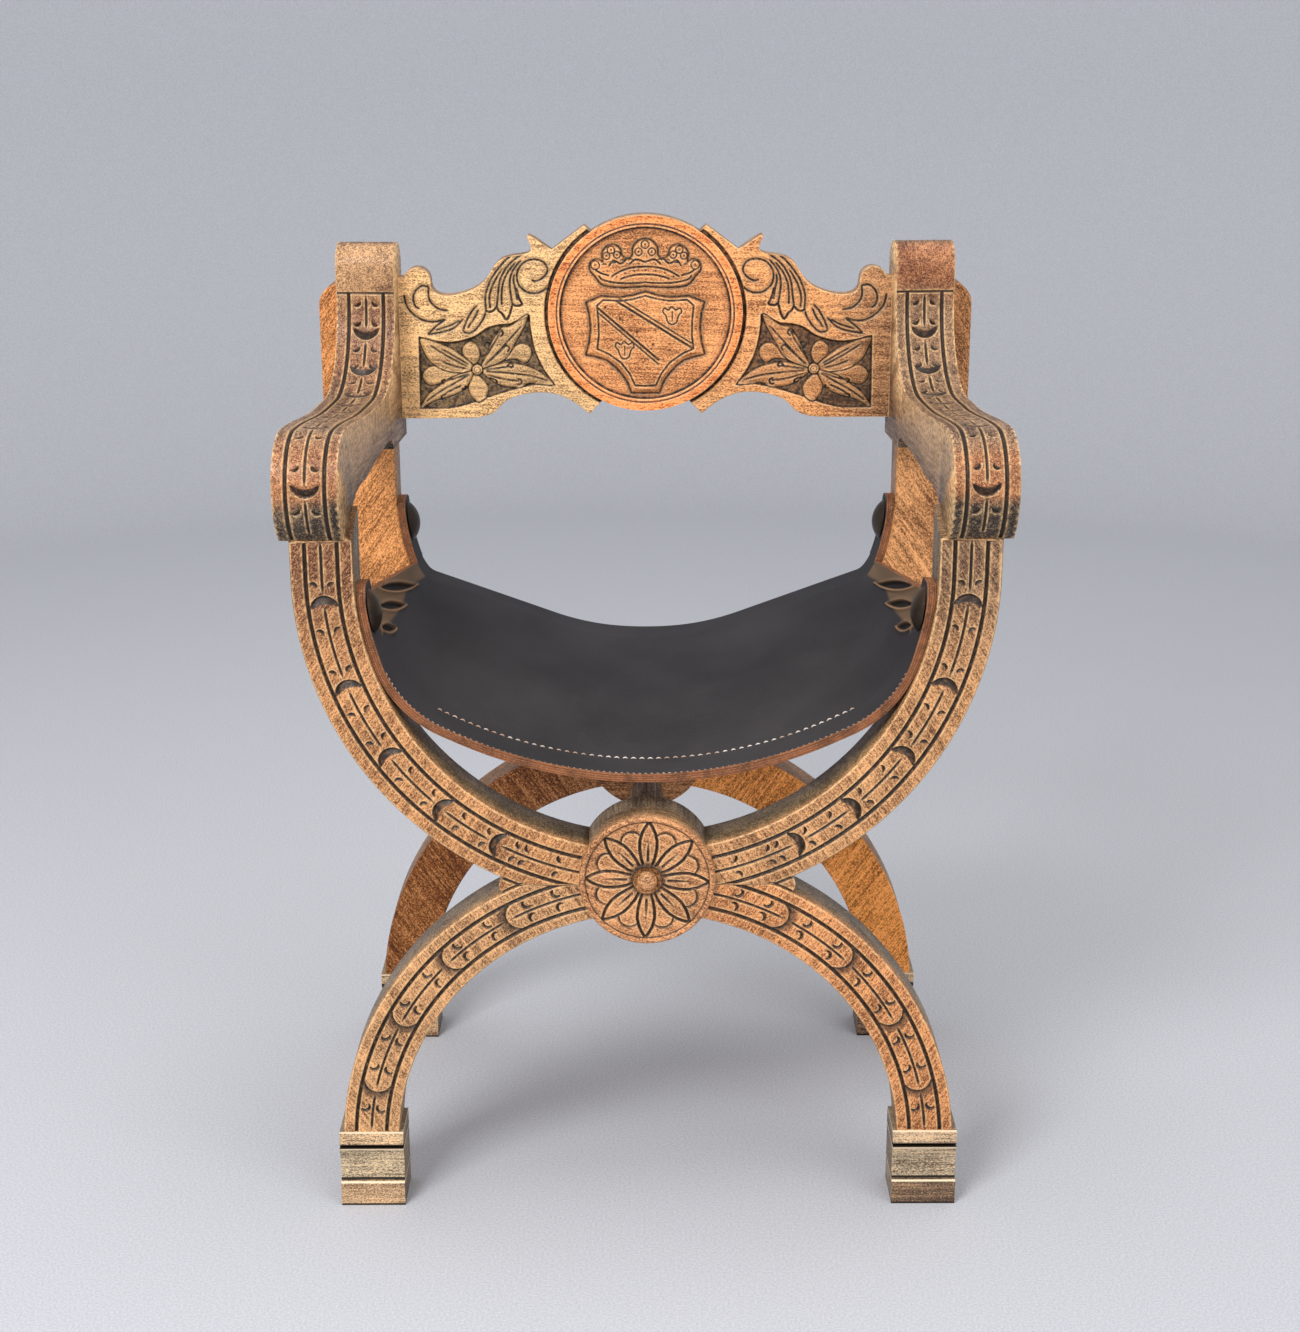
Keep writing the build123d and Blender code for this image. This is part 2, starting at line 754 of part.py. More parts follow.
with BuildPart() as back_board:
    with BuildSketch(facing_plane(board_front_depth)):
        with BuildLine():
            # lower edge, from the medallion's lower tab to the end at the armrest
            Polyline((0, medallion_height), *(tab_point(*point) for point in board_lower_tab))
            lower_edge = Spline(
                tab_point(*board_lower_tab[-1]),
                *(board_point(*point) for point in board_lower_knots),
                board_point(board_lower_edge_start, -medallion_rise),
                tangents=[board_lower_heading, (1, 0)],
            )
            Polyline(
                lower_edge @ 1,
                (arm_inner_front, board_lower_edge_height),
                (arm_inner_front, medallion_height + board_horn[0][1]),
                board_point(*board_horn[0]),
            )
            # horn, valley and volute of the upper edge, up to the medallion's upper tab
            ThreePointArc(*(board_point(*point) for point in board_horn))
            upper_edge = Spline(
                board_point(*board_horn[-1]),
                *(board_point(*point) for point in board_upper_knots),
                board_point(*board_volute_end),
                tangents=[(0, -1), board_volute_heading],
            )
            Polyline(
                upper_edge @ 1,
                *(tab_point(*point) for point in board_upper_tab),
                (0, medallion_height),
            )
        make_face()
        mirror(about=Plane.YZ)
    extrude(amount=-board_thickness)
    with BuildSketch(facing_plane(board_front_depth - medallion_projection)):
        with Locations((0, medallion_height)):
            Circle(medallion_radius)
    extrude(amount=-(medallion_projection + board_thickness))
    with BuildSketch(facing_plane(board_front_depth - medallion_projection)):
        with Locations((0, medallion_height)):
            Circle(medallion_radius - medallion_rim_width)
    extrude(amount=-medallion_sink, mode=Mode.SUBTRACT)
    split(bisect_by=arm_plane(sides["left"]), keep=Keep.TOP)
    split(bisect_by=arm_plane(sides["right"]), keep=Keep.BOTTOM)
    add(board_holes, mode=Mode.SUBTRACT)
save(back_board, "back_board")

# ---- leather sling seat --------------------------------------------------------------------
ear_radius = bowl_inner_radius - seat_clearance


def around(centre, radius, angle):
    """Point on a circle, at an angle from straight down towards the left."""
    return centre + Vector(-sin(radians(angle)), -cos(radians(angle))) * radius


def sling_arcs(rise, excess, slope, turn, cutback=0.0, reach=None):
    """Arcs of the sling's left underside, from the middle to the top of the ear.

    The broad middle arc ends at the slope, a straight run follows it, and a small turn leads
    into the ear beside the rib. The last arc stops a cutback below the ear's top, or a reach
    beyond the turn. Each arc is its centre, radius, first and last angle.
    """
    sweep = bowl_inner_radius + excess
    bowl_centre = Vector(0, bowl_centre_height)
    sweep_centre = bowl_centre + Vector(0, rise - bowl_inner_radius + sweep)
    across_slope = sweep_centre - around(sweep_centre, 1, slope)
    drop = (bowl_centre - sweep_centre).dot(across_slope) + sweep - turn
    leaves_rib = slope + degrees(acos(drop / (ear_radius - turn)))
    ear_top = degrees(acos(ear_top_drop / ear_radius) - cutback / ear_radius)
    if reach is not None:
        ear_top = leaves_rib + degrees(reach / ear_radius)
    turn_centre = around(bowl_centre, ear_radius - turn, leaves_rib)
    return [
        (sweep_centre, sweep, 0, slope),
        (turn_centre, turn, slope, leaves_rib),
        (bowl_centre, ear_radius, leaves_rib, ear_top),
    ]


def sling_section(arcs, low, high):
    """Left half of one leather layer's cross-section, between two heights above the underside."""
    with BuildSketch() as section:
        with BuildLine():
            for rise in (low, high):
                ends = []
                for centre, radius, first, last in arcs:
                    angles = (first, (first + last) / 2, last)
                    points = [around(centre, radius - rise, angle) for angle in angles]
                    ThreePointArc(*points)
                    ends.append(points)
                Line(ends[0][-1], ends[1][0])
            for centre, radius, angle in (
                (arcs[0][0], arcs[0][1], arcs[0][2]),
                (arcs[-1][0], arcs[-1][1], arcs[-1][3]),
            ):
                Line(around(centre, radius - low, angle), around(centre, radius - high, angle))
        make_face()
    return section.sketch


def sling_layer(low, high):
    """One leather layer: a band with two ears at each frame, and the sloping sheet between."""
    front_shape = (sling_front_rise, sling_front_excess, sling_front_angle, sling_front_turn)
    rear_shape = (sling_rear_rise, sling_rear_excess, sling_rear_angle, sling_rear_turn)
    front_band_end = sling_inset + ear_width
    rear_band_start = rear_face_depth - front_band_end
    bands = [
        (sling_inset, sling_section(sling_arcs(*front_shape), low, high)),
        (rear_band_start, sling_section(sling_arcs(*rear_shape), low, high)),
    ]
    sheet_ends = [
        (
            front_band_end,
            sling_section(sling_arcs(*front_shape, cutback=edge_front_cutback), low, high),
        ),
        (
            rear_band_start,
            sling_section(sling_arcs(*rear_shape, reach=edge_rear_reach), low, high),
        ),
    ]
    holes = [stud_hole(side, frame) for side in sides.values() for frame in frames]
    with BuildPart() as layer:
        for depth, section in bands:
            with BuildSketch(facing_plane(depth)):
                add(section)
            extrude(amount=-ear_width)
        for depth, section in sheet_ends:
            with BuildSketch(facing_plane(depth)):
                add(section)
        loft()
        mirror(about=Plane.YZ)
        add(holes, mode=Mode.SUBTRACT)
    return layer


save(sling_layer(0, lining_thickness), "seat_lining")
save(
    sling_layer(lining_thickness + layer_gap, seat_build_up),
    "seat_leather",
)

# ---- studs, screws and dowels --------------------------------------------------------------
def seat_stud(side, frame):
    """Large domed nail whose shank passes through both seat layers into the rib."""
    with BuildPart() as stud:
        with BuildSketch(Plane.XZ):
            with BuildLine():
                ThreePointArc(
                    (stud_radius, 0),
                    dome_middle(stud_radius, stud_dome_height),
                    (0, stud_dome_height),
                )
                Polyline(
                    (0, stud_dome_height),
                    (0, -stud_shank_length),
                    (stud_shank_radius, -stud_shank_length),
                    (stud_shank_radius, 0),
                    (stud_radius, 0),
                )
            make_face()
        revolve(axis=Axis.Z)
    stud.part.locate(stud_plane(side, frame).location)
    return stud


def group(solids):
    with BuildPart() as pieces:
        for solid in solids:
            add(solid)
    return pieces


for side_name, side in sides.items():
    for frame in frames:
        save(seat_stud(side, frame), f"{frame}_{side_name}_seat_stud")
    screws = [arm_screw(side, height) for height in arm_screw_heights]
    save(group(screws), f"{side_name}_armrest_screws")
    board_dowels = [board_dowel(side, height) for height in board_dowel_heights]
    save(group(board_dowels), f"{side_name}_board_dowels")

for frame in frames:
    save(group([hub_screw(frame)]), f"{frame}_hub_screw")
    hub_dowels = [
        hub_dowel(frame, side, member) for side in sides.values() for member in hub_dowel_heights
    ]
    save(group(hub_dowels), f"{frame}_hub_dowels")

save(group([arm_dowel(side) for side in sides.values()]), "armrest_dowels")
foot_dowels = [foot_dowel(side, frame) for side in sides.values() for frame in frames]
save(group(foot_dowels), "foot_dowels")
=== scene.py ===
from math import acos, asin, cos, pi, radians, sin, sqrt, tau

import bmesh
import bpy
import numpy as np
from bpy.props import FloatProperty, FloatVectorProperty, PointerProperty
from mathutils import Matrix, Vector
from mathutils.geometry import delaunay_2d_cdt


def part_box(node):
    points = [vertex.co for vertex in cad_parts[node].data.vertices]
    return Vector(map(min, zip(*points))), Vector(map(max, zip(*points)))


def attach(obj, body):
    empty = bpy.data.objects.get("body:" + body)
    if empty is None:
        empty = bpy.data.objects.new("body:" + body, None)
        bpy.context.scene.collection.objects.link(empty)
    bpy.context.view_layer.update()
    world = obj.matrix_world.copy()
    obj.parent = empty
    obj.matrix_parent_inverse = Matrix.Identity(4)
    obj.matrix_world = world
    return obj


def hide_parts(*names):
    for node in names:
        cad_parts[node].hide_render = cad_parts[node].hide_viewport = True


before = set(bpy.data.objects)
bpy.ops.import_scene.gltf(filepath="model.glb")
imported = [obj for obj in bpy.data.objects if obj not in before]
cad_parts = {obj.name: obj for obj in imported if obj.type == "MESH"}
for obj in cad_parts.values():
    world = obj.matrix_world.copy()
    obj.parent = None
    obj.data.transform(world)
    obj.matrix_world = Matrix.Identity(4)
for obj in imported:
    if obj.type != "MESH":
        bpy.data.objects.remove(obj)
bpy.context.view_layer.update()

bl_info = {
    "name": "Carved Savonarola Armchair",
    "version": (1, 0, 0),
    "blender": (4, 5, 0),
    "location": "3D View > Sidebar > Armchair",
    "description": "Carved wood and leather dressing for the armchair's solid frame",
    "category": "Object",
}

body = "root"
mm = 0.001
sides = {"left": -1, "right": 1}
front = Vector((0, -1, 0))
cad_front = -0.197         # level of the front frame's face, in metres

# ---- sizes of the frame, in millimetres ------------------------------------------------------
bowl_centre = 612.0
bowl_inner = 255.0
bowl_outer = 310.0
arch_centre = 62.0
arch_inner = 234.0
arch_outer = 286.0
hub_height = 331.0
medallion_height = 795.5
medallion_radius = 96.0
frame_pitch = 352.0        # from one frame's front face to the other's
arm_toe_in = 20.0          # each armrest comes this much nearer the middle at the rear
arm_inner = 262.0          # from the middle to an armrest's inner face, at the front
arm_foot = 645.0           # height of the armrest's lowest point, under its scroll
arm_top = 843.5            # height where the armrest's unrolled strip starts, at its rear
arm_carving_top = 96.3     # run from the strip's start to the start of the carving
arm_middle = 28.0          # from an armrest's inner face to the middle of its carving
arm_field_half = 17.0      # from that middle to its border grooves
board_face = 330.0         # from the front frame's face to the back board's
ground_step = 1.0          # the medallion's ground is this much proud of the board
ring_step = 6.0            # and its ring this much
rosette_rim = 1.5          # the rosette's rim is this much proud of its carved face

# ---- colours of the pieces -------------------------------------------------------------------
face_tones = {
    "front_left_rib": (0.47, 0.22, 0.085),
    "front_right_rib": (0.47, 0.235, 0.098),
    "front_left_leg": (0.49, 0.26, 0.115),
    "front_right_leg": (0.56, 0.235, 0.085),
    "left_armrest": (0.175, 0.066, 0.027),
    "right_armrest": (0.187, 0.102, 0.056),
    "front_rosette": (0.50, 0.23, 0.095),
    "back_board": (0.82, 0.52, 0.24),
}
# Colours of faces turned away from the front: painted shade and grazing reflection of the sides.
side_shade_tones = {
    "rib": (0.125, 0.10, 0.062),
    "leg": (0.20, 0.145, 0.09),
    "armrest": (0.15, 0.086, 0.055),
    "rosette": (0.17, 0.11, 0.062),
    "board": (0.30, 0.17, 0.08),
}
grain_lean = radians(35)   # how far the grain of the ribs and legs leans


# ---- finishes a user may change --------------------------------------------------------------
def colour_choice(name, description, default):
    """A colour that shows in the panel."""
    return FloatVectorProperty(
        name=name, description=description, default=default, subtype="COLOR", min=0, max=1, size=3
    )


def length_choice(name, description, default):
    """A length that shows in the panel, kept in metres."""
    return FloatProperty(
        name=name, description=description, default=default, subtype="DISTANCE", unit="LENGTH"
    )


class WoodFinish(bpy.types.PropertyGroup):
    """Colours and cut depths of the carved wood."""

    # Pale is worn wood and also painted highlight: whitish glints on the waxed grain and on worn
    # edges.
    pale: colour_choice("Pale wood", "Worn high places of the wood", (0.95, 0.60, 0.29))
    deep: colour_choice("Deep grain", "Share of the colour in dark grain", (0.29, 0.205, 0.15))
    # Cuts is old wax and dirt in the cuts, and also the painted shadow laid around raised relief
    # and below the legs' lunettes.
    cut: colour_choice("Cuts", "Old wax and dirt in the carved cuts", (0.022, 0.013, 0.008))
    groove_depth: length_choice("Groove depth", "Depth of the long border grooves", 0.0026)
    carving_pitch: length_choice("Carving pitch", "Spacing of the carved faces' points", 0.0008)


class LeatherFinish(bpy.types.PropertyGroup):
    """Colours and sizes of the sling seat."""

    black: colour_choice("Top leather", "Dull black grain side of the seat", (0.022, 0.020, 0.022))
    scuffed: colour_choice("Scuffs", "Rubbed places of the grain side", (0.085, 0.08, 0.082))
    brown: colour_choice("Brown leather", "Cut edge and underside of the seat", (0.30, 0.105, 0.04))
    tan: colour_choice("Tan leather", "Fresh fibres of the cut edge", (0.62, 0.33, 0.16))
    hollow: colour_choice("Hollows", "Deepest shade of the folds", (0.010, 0.007, 0.005))
    thread: colour_choice("Thread", "Waxed stitching", (0.80, 0.70, 0.60))
    stitch_length: length_choice("Stitch length", "Length of one seam stitch", 0.0052)
    stitch_pitch: length_choice("Stitch pitch", "Spacing of the seam stitches", 0.0078)
    thread_radius: length_choice("Thread radius", "Half the thickness of the thread", 0.0007)


class StageFinish(bpy.types.PropertyGroup):
    """Floor and backdrop."""

    floor: colour_choice("Backdrop", "Plain pale paper", (0.63, 0.64, 0.68))
    floor_reach: length_choice("Floor reach", "Radius of the flat paper floor", 2.7)
    cove: length_choice("Cove", "Radius of the curve from the floor up to the wall", 0.9)
    wall_height: length_choice("Wall height", "Height of the round paper wall", 2.6)


# ---- shader expressions ----------------------------------------------------------------------
class Value:
    """One number output of a material's nodes, usable in Python expressions."""

    def __init__(self, shader, socket):
        self.shader = shader
        self.socket = socket

    def maths(self, operation, first, second=0.0):
        """Adds one Math node."""
        found = self.shader.node("ShaderNodeMath", {"operation": operation}, [first, second])
        return Value(self.shader, found.outputs[0])

    def __add__(self, other):
        return self.maths("ADD", self, other)

    __radd__ = __add__

    def __sub__(self, other):
        return self.maths("SUBTRACT", self, other)

    def __rsub__(self, other):
        return self.maths("SUBTRACT", other, self)

    def __mul__(self, other):
        return self.maths("MULTIPLY", self, other)

    __rmul__ = __mul__

    def __pow__(self, other):
        return self.maths("POWER", self, other)

    def at_most(self, other):
        """The smaller of the two."""
        return self.maths("MINIMUM", self, other)

    def __abs__(self):
        return self.maths("ABSOLUTE", self)

    def between(self, low, high):
        """0 below low, 1 above high, and a smooth rise between."""
        found = self.shader.node(
            "ShaderNodeMapRange",
            {"interpolation_type": "SMOOTHSTEP"},
            {"Value": self, "From Min": low, "From Max": high},
        )
        return Value(self.shader, found.outputs["Result"])


class Shader:
    """A material's node tree, built by Python expressions."""

    def __init__(self, name):
        self.material = bpy.data.materials.new(name)
        self.material.use_nodes = True
        self.nodes = self.material.node_tree.nodes
        self.links = self.material.node_tree.links
        self.surface = self.nodes["Principled BSDF"]

    def node(self, kind, settings=None, inputs=None):
        """Adds a node: its settings first, then the values or links of its sockets."""
        made = self.nodes.new(kind)
        for name, value in (settings or {}).items():
            setattr(made, name, value)
        pairs = inputs.items() if isinstance(inputs, dict) else enumerate(inputs or [])
        for key, value in pairs:
            self.set(made.inputs[key], value)
        return made

    def set(self, socket, value):
        """Links an output to a socket, or gives the socket a fixed value."""
        if isinstance(value, Value):
            value = value.socket
        if isinstance(value, bpy.types.NodeSocket):
            self.links.new(value, socket)
        elif hasattr(socket.default_value, "__len__") and len(value) < len(socket.default_value):
            socket.default_value = (*value, 1)
        else:
            socket.default_value = value

    def mix(self, share, first, second, blend="MIX"):
        """Mixes two colours by a share of the second."""
        found = self.node(
            "ShaderNodeMix",
            {"data_type": "RGBA", "blend_type": blend},
            {"Factor": share},
        )
        colours = [socket for socket in found.inputs if socket.type == "RGBA"]
        self.set(colours[0], first)
        self.set(colours[1], second)
        return [socket for socket in found.outputs if socket.type == "RGBA"][0]

    def place(self, turn=(0, 0, 0), stretch=(1, 1, 1)):
        """Position on the object, turned and then stretched."""
        where = self.node("ShaderNodeTexCoord").outputs["Object"]
        turned = self.node(
            "ShaderNodeVectorRotate",
            {"rotation_type": "EULER_XYZ"},
            {"Vector": where, "Rotation": turn},
        )
        return self.node(
            "ShaderNodeVectorMath", {"operation": "MULTIPLY"}, [turned.outputs[0], stretch]
        ).outputs[0]

    def noise(self, where, scale, detail, roughness=0.55, distortion=0.0):
        """A cloudy number between 0 and 1, with a given number of clouds to the metre."""
        found = self.node(
            "ShaderNodeTexNoise",
            {},
            {"Vector": where, "Scale": scale, "Detail": detail, "Roughness": roughness,
             "Distortion": distortion},
        )
        return Value(self, found.outputs[0])

    def attribute(self, name):
        """One of the values that the mesh keeps at its points."""
        found = self.node("ShaderNodeAttribute", {"attribute_name": name})
        return Value(self, found.outputs["Fac"])

    def along(self, axis):
        """Place along one axis of the object, in metres."""
        where = self.node("ShaderNodeTexCoord").outputs["Object"]
        return Value(self, self.node("ShaderNodeSeparateXYZ", {}, [where]).outputs[axis])

    def normal_part(self, axis):
        """One part of the surface's direction, such as 1 for how far it faces along Y."""
        facing = self.node("ShaderNodeNewGeometry").outputs["Normal"]
        parts = self.node("ShaderNodeSeparateXYZ", {}, [facing])
        return Value(self, parts.outputs[axis])

    def bump(self, height, strength, distance):
        """Fine relief of the surface, its distance in metres."""
        found = self.node(
            "ShaderNodeBump", {}, {"Height": height, "Strength": strength, "Distance": distance}
        )
        self.set(self.surface.inputs["Normal"], found.outputs[0])

    def coat(self, colour, roughness, shine=0.5, metallic=0.0):
        """Sets what the surface looks like, and gives its material."""
        self.set(self.surface.inputs["Base Color"], colour)
        self.set(self.surface.inputs["Roughness"], roughness)
        self.set(self.surface.inputs["Specular IOR Level"], shine)
        self.set(self.surface.inputs["Metallic"], metallic)
        return self.material


def tinted(colour, shade):
    """The colour times a number, or times a number for each of its parts."""
    return tuple(np.multiply([*colour], shade).tolist())


def wood(name, colour, turn, side, blends=(), spots=(), shadow_and_highlight_lines=(), carved=False):
    """Old beech, stained and waxed: grain runs along Z before the turn.

    Side is the painted shade and grazing reflection given to faces turned away from the front.
    Each blend is an axis, two places on it in metres and the colour that is reached at the
    second. Spots are round patches: place across, height, radius and colour. Level lines are
    painted shadow and highlight lines: height, half width and colour.
    """
    finish = bpy.context.scene.armchair_wood
    shader = Shader(name)
    even = shader.place(turn)
    streaks = shader.noise(shader.place(turn, (1, 1, 0.05)), 430.0, 4.0, 0.65, 0.3)
    bands = shader.noise(shader.place(turn, (1, 1, 0.13)), 42.0, 3.0, 0.55, 1.2)
    patches = shader.noise(even, 16.0, 3.0, 0.6)
    speckle = shader.noise(shader.place(turn, (1, 1, 0.5)), 1100.0, 2.0, 0.6)
    tone = (
        0.5 + (streaks - 0.5) * 1.1 + (bands - 0.5) * 0.45 + (patches - 0.5) * 0.5
        + (speckle - 0.5) * 1.7
    )
    face = colour
    for axis, low, high, other in blends:
        reach = shader.along(axis) + (patches - 0.5) * abs(high - low)
        share = reach.between(low, high) if low < high else 1 - reach.between(high, low)
        face = shader.mix(share, face, other)
    for across, height, radius, other in spots:
        away = (shader.along(0) - across) ** 2.0 + (shader.along(2) - height) ** 2.0
        face = shader.mix(1 - away.between((radius * 0.99) ** 2, radius**2), face, other)
    # Faces turned away from the front take the side colour: painted shade and grazing reflection.
    away = 1 - (shader.normal_part(1) * -1).between(0.1, 0.6)
    face = shader.mix(away, face, side)
    darker = shader.mix(1.0, face, finish.deep, "MULTIPLY")
    # The pale end of the grain's tone is worn wood with painted highlights: sparse whitish glints.
    paler = shader.mix(0.30, shader.mix(1.0, face, (1.75, 1.5, 1.3), "MULTIPLY"), finish.pale)
    shaded = shader.mix(1 - tone.between(0.2, 0.54), face, darker)
    shaded = shader.mix(tone.between(0.5, 0.80), shaded, paler)
    # Level lines of painted shadow and highlight.
    for height, half, other in shadow_and_highlight_lines:
        away = abs(shader.along(2) - height)
        shaded = shader.mix(1 - away.between(half * 0.7, half * 1.3), shaded, other)
    if carved:
        cut = shader.attribute("cut")
        patchiness = shader.noise(even, 240.0, 3.0, 0.6).between(0.35, 0.65)
        # Rims and cut edges turn pale: worn wood and a painted highlight where light would catch
        # them.
        shaded = shader.mix(shader.attribute("wear") * (0.2 + 0.7 * patchiness), shaded, finish.pale)
        # Cuts darken with wax and dirt and, in places, with painted shadow of the relief.
        shaded = shader.mix((cut * (0.85 + 0.3 * patchiness)).at_most(1.0), shaded, finish.cut)
    shader.bump(streaks * 0.5 + speckle * 0.5, 0.3, 0.0006)
    return shader.coat(shaded, 0.60 - 0.30 * tone, 0.35)


def leather(name, base, roughness):
    """Grained leather with soft wear, brown where a fold shows the flesh side."""
    finish = bpy.context.scene.armchair_leather
    shader = Shader(name)
    even = shader.place()
    clouds = shader.noise(even, 7.0, 3.0)
    grain = shader.noise(even, 850.0, 3.0, 0.65)
    scuffs = shader.noise(shader.place((0, 0, 0), (1, 0.3, 1)), 60.0, 5.0, 0.7).between(0.6, 0.8)
    lighter = tuple(part * 1.7 + 0.004 for part in base)
    colour = shader.mix(clouds.between(0.3, 0.75), base, lighter)
    colour = shader.mix(grain.between(0.5, 0.75) * 0.35 + scuffs * 0.2, colour, finish.scuffed)
    flesh = shader.attribute("flesh") * (0.45 + 0.5 * clouds)
    colour = shader.mix(flesh, colour, tinted(finish.brown, (0.75, 1.25, 1.6)))
    # Pale lips of the folds: tan fibres and a painted highlight on their raised edges.
    colour = shader.mix(shader.attribute("lip") * (0.3 + 0.6 * grain), colour, finish.tan)
    colour = shader.mix(shader.attribute("hollow"), colour, finish.hollow)
    shader.bump(grain, 0.22, 0.0005)
    return shader.coat(colour, roughness + 0.12 * clouds, 0.22)


def cut_leather(name, base):
    """The cut edge and the rough underside of thick leather."""
    finish = bpy.context.scene.armchair_leather
    shader = Shader(name)
    fibres = shader.noise(shader.place((0, 0, 0), (0.25, 0.25, 1)), 1500.0, 3.0, 0.7)
    burnish = shader.noise(shader.place(), 70.0, 4.0, 0.6)
    colour = shader.mix(burnish.between(0.35, 0.7), base, tinted(base, 0.45))
    colour = shader.mix(fibres.between(0.5, 0.72) * 0.7, colour, finish.tan)
    colour = shader.mix(shader.attribute("hollow"), colour, finish.hollow)
    shader.bump(fibres, 0.3, 0.0005)
    return shader.coat(colour, 0.5 + 0.3 * fibres, 0.3)


def waxed_thread(name, soiled):
    """Cream thread; soiled is where its stain begins and where it is full."""
    finish = bpy.context.scene.armchair_leather
    shader = Shader(name)
    twist = shader.noise(shader.place(), 1400.0, 2.0)
    soil = shader.noise(shader.place(), 30.0, 3.0)
    dull = tinted(finish.thread, (0.5, 0.3, 0.2))
    shader.bump(twist, 0.4, 0.0003)
    return shader.coat(shader.mix(soil.between(*soiled) * 0.8, finish.thread, dull), 0.6)


def metal(name, base, roughness):
    """Darkened metal with handling marks."""
    shader = Shader(name)
    wear = shader.noise(shader.place(), 60.0, 4.0, 0.6)
    colour = shader.mix(wear.between(0.4, 0.8), base, tinted(base, 2.2))
    shader.bump(wear, 0.1, 0.0004)
    return shader.coat(colour, roughness + 0.2 * wear, metallic=0.8)


def dress(piece, material):
    """Gives a piece one material."""
    slots = piece.data.materials
    if not len(slots):
        slots.append(material)
    for place in range(len(slots)):
        slots[place] = material


# ---- carving ---------------------------------------------------------------------------------
def rise(value, low, high):
    """0 below low and 1 above high, with a smooth step between."""
    share = np.clip((value - low) / (high - low), 0, 1)
    return share * share * (3 - 2 * share)


def nearest_on(points, line):
    """Distance of each point from a run of straight spans, and its run along it."""
    line = np.asarray(line, float)
    starts, steps = line[:-1], np.diff(line, axis=0)
    lengths = np.hypot(*steps.T)
    before = np.concatenate([[0], np.cumsum(lengths)])
    nearest, place = np.full(len(points), 1e9), np.zeros(len(points))
    for start, step, length, run in zip(starts, steps, lengths, before):
        away = points - start
        along = np.clip(away @ step / max(length**2, 1e-12), 0, 1)
        distance = np.hypot(*(away - along[:, None] * step).T)
        closer = distance < nearest
        nearest[closer] = distance[closer]
        place[closer] = run + along[closer] * length
    return nearest, place


def flowing(knots, steps=7, ring=False):
    """A flowing curve through the knots; a ring comes back to its first knot."""
    knots = np.asarray(knots, float)
    if ring:
        ends = np.vstack([knots[-1:], knots, knots[:2]])
    else:
        ends = np.vstack([2 * knots[:1] - knots[1:2], knots, 2 * knots[-1:] - knots[-2:-1]])
    t = np.linspace(0, 1, steps, endpoint=False)[:, None]
    runs = [
        0.5 * (2 * b + (c - a) * t + (2 * a - 5 * b + 4 * c - d) * t**2
               + (3 * b - a - 3 * c + d) * t**3)
        for a, b, c, d in zip(ends, ends[1:], ends[2:], ends[3:])
    ]
    return np.vstack([*runs, knots[:1] if ring else knots[-1:]])


def closed(line):
    """The line with its first point added at its end."""
    return np.vstack([line, line[:1]])


def circle(centre, radius, spans):
    """A closed ring of short spans."""
    turn = np.linspace(0, tau, spans + 1)[:, None]
    return np.asarray(centre) + radius * np.hstack([np.cos(turn), np.sin(turn)])


def crossings(points, spans):
    """Whether each point lies inside the outline made of the given spans."""
    hit = np.zeros(len(points), bool)
    for (ax, ay), (bx, by) in spans:
        if ay != by:
            crosses = (ay > points[:, 1]) != (by > points[:, 1])
            hit ^= crosses & (points[:, 0] < (bx - ax) * (points[:, 1] - ay) / (by - ay) + ax)
    return hit


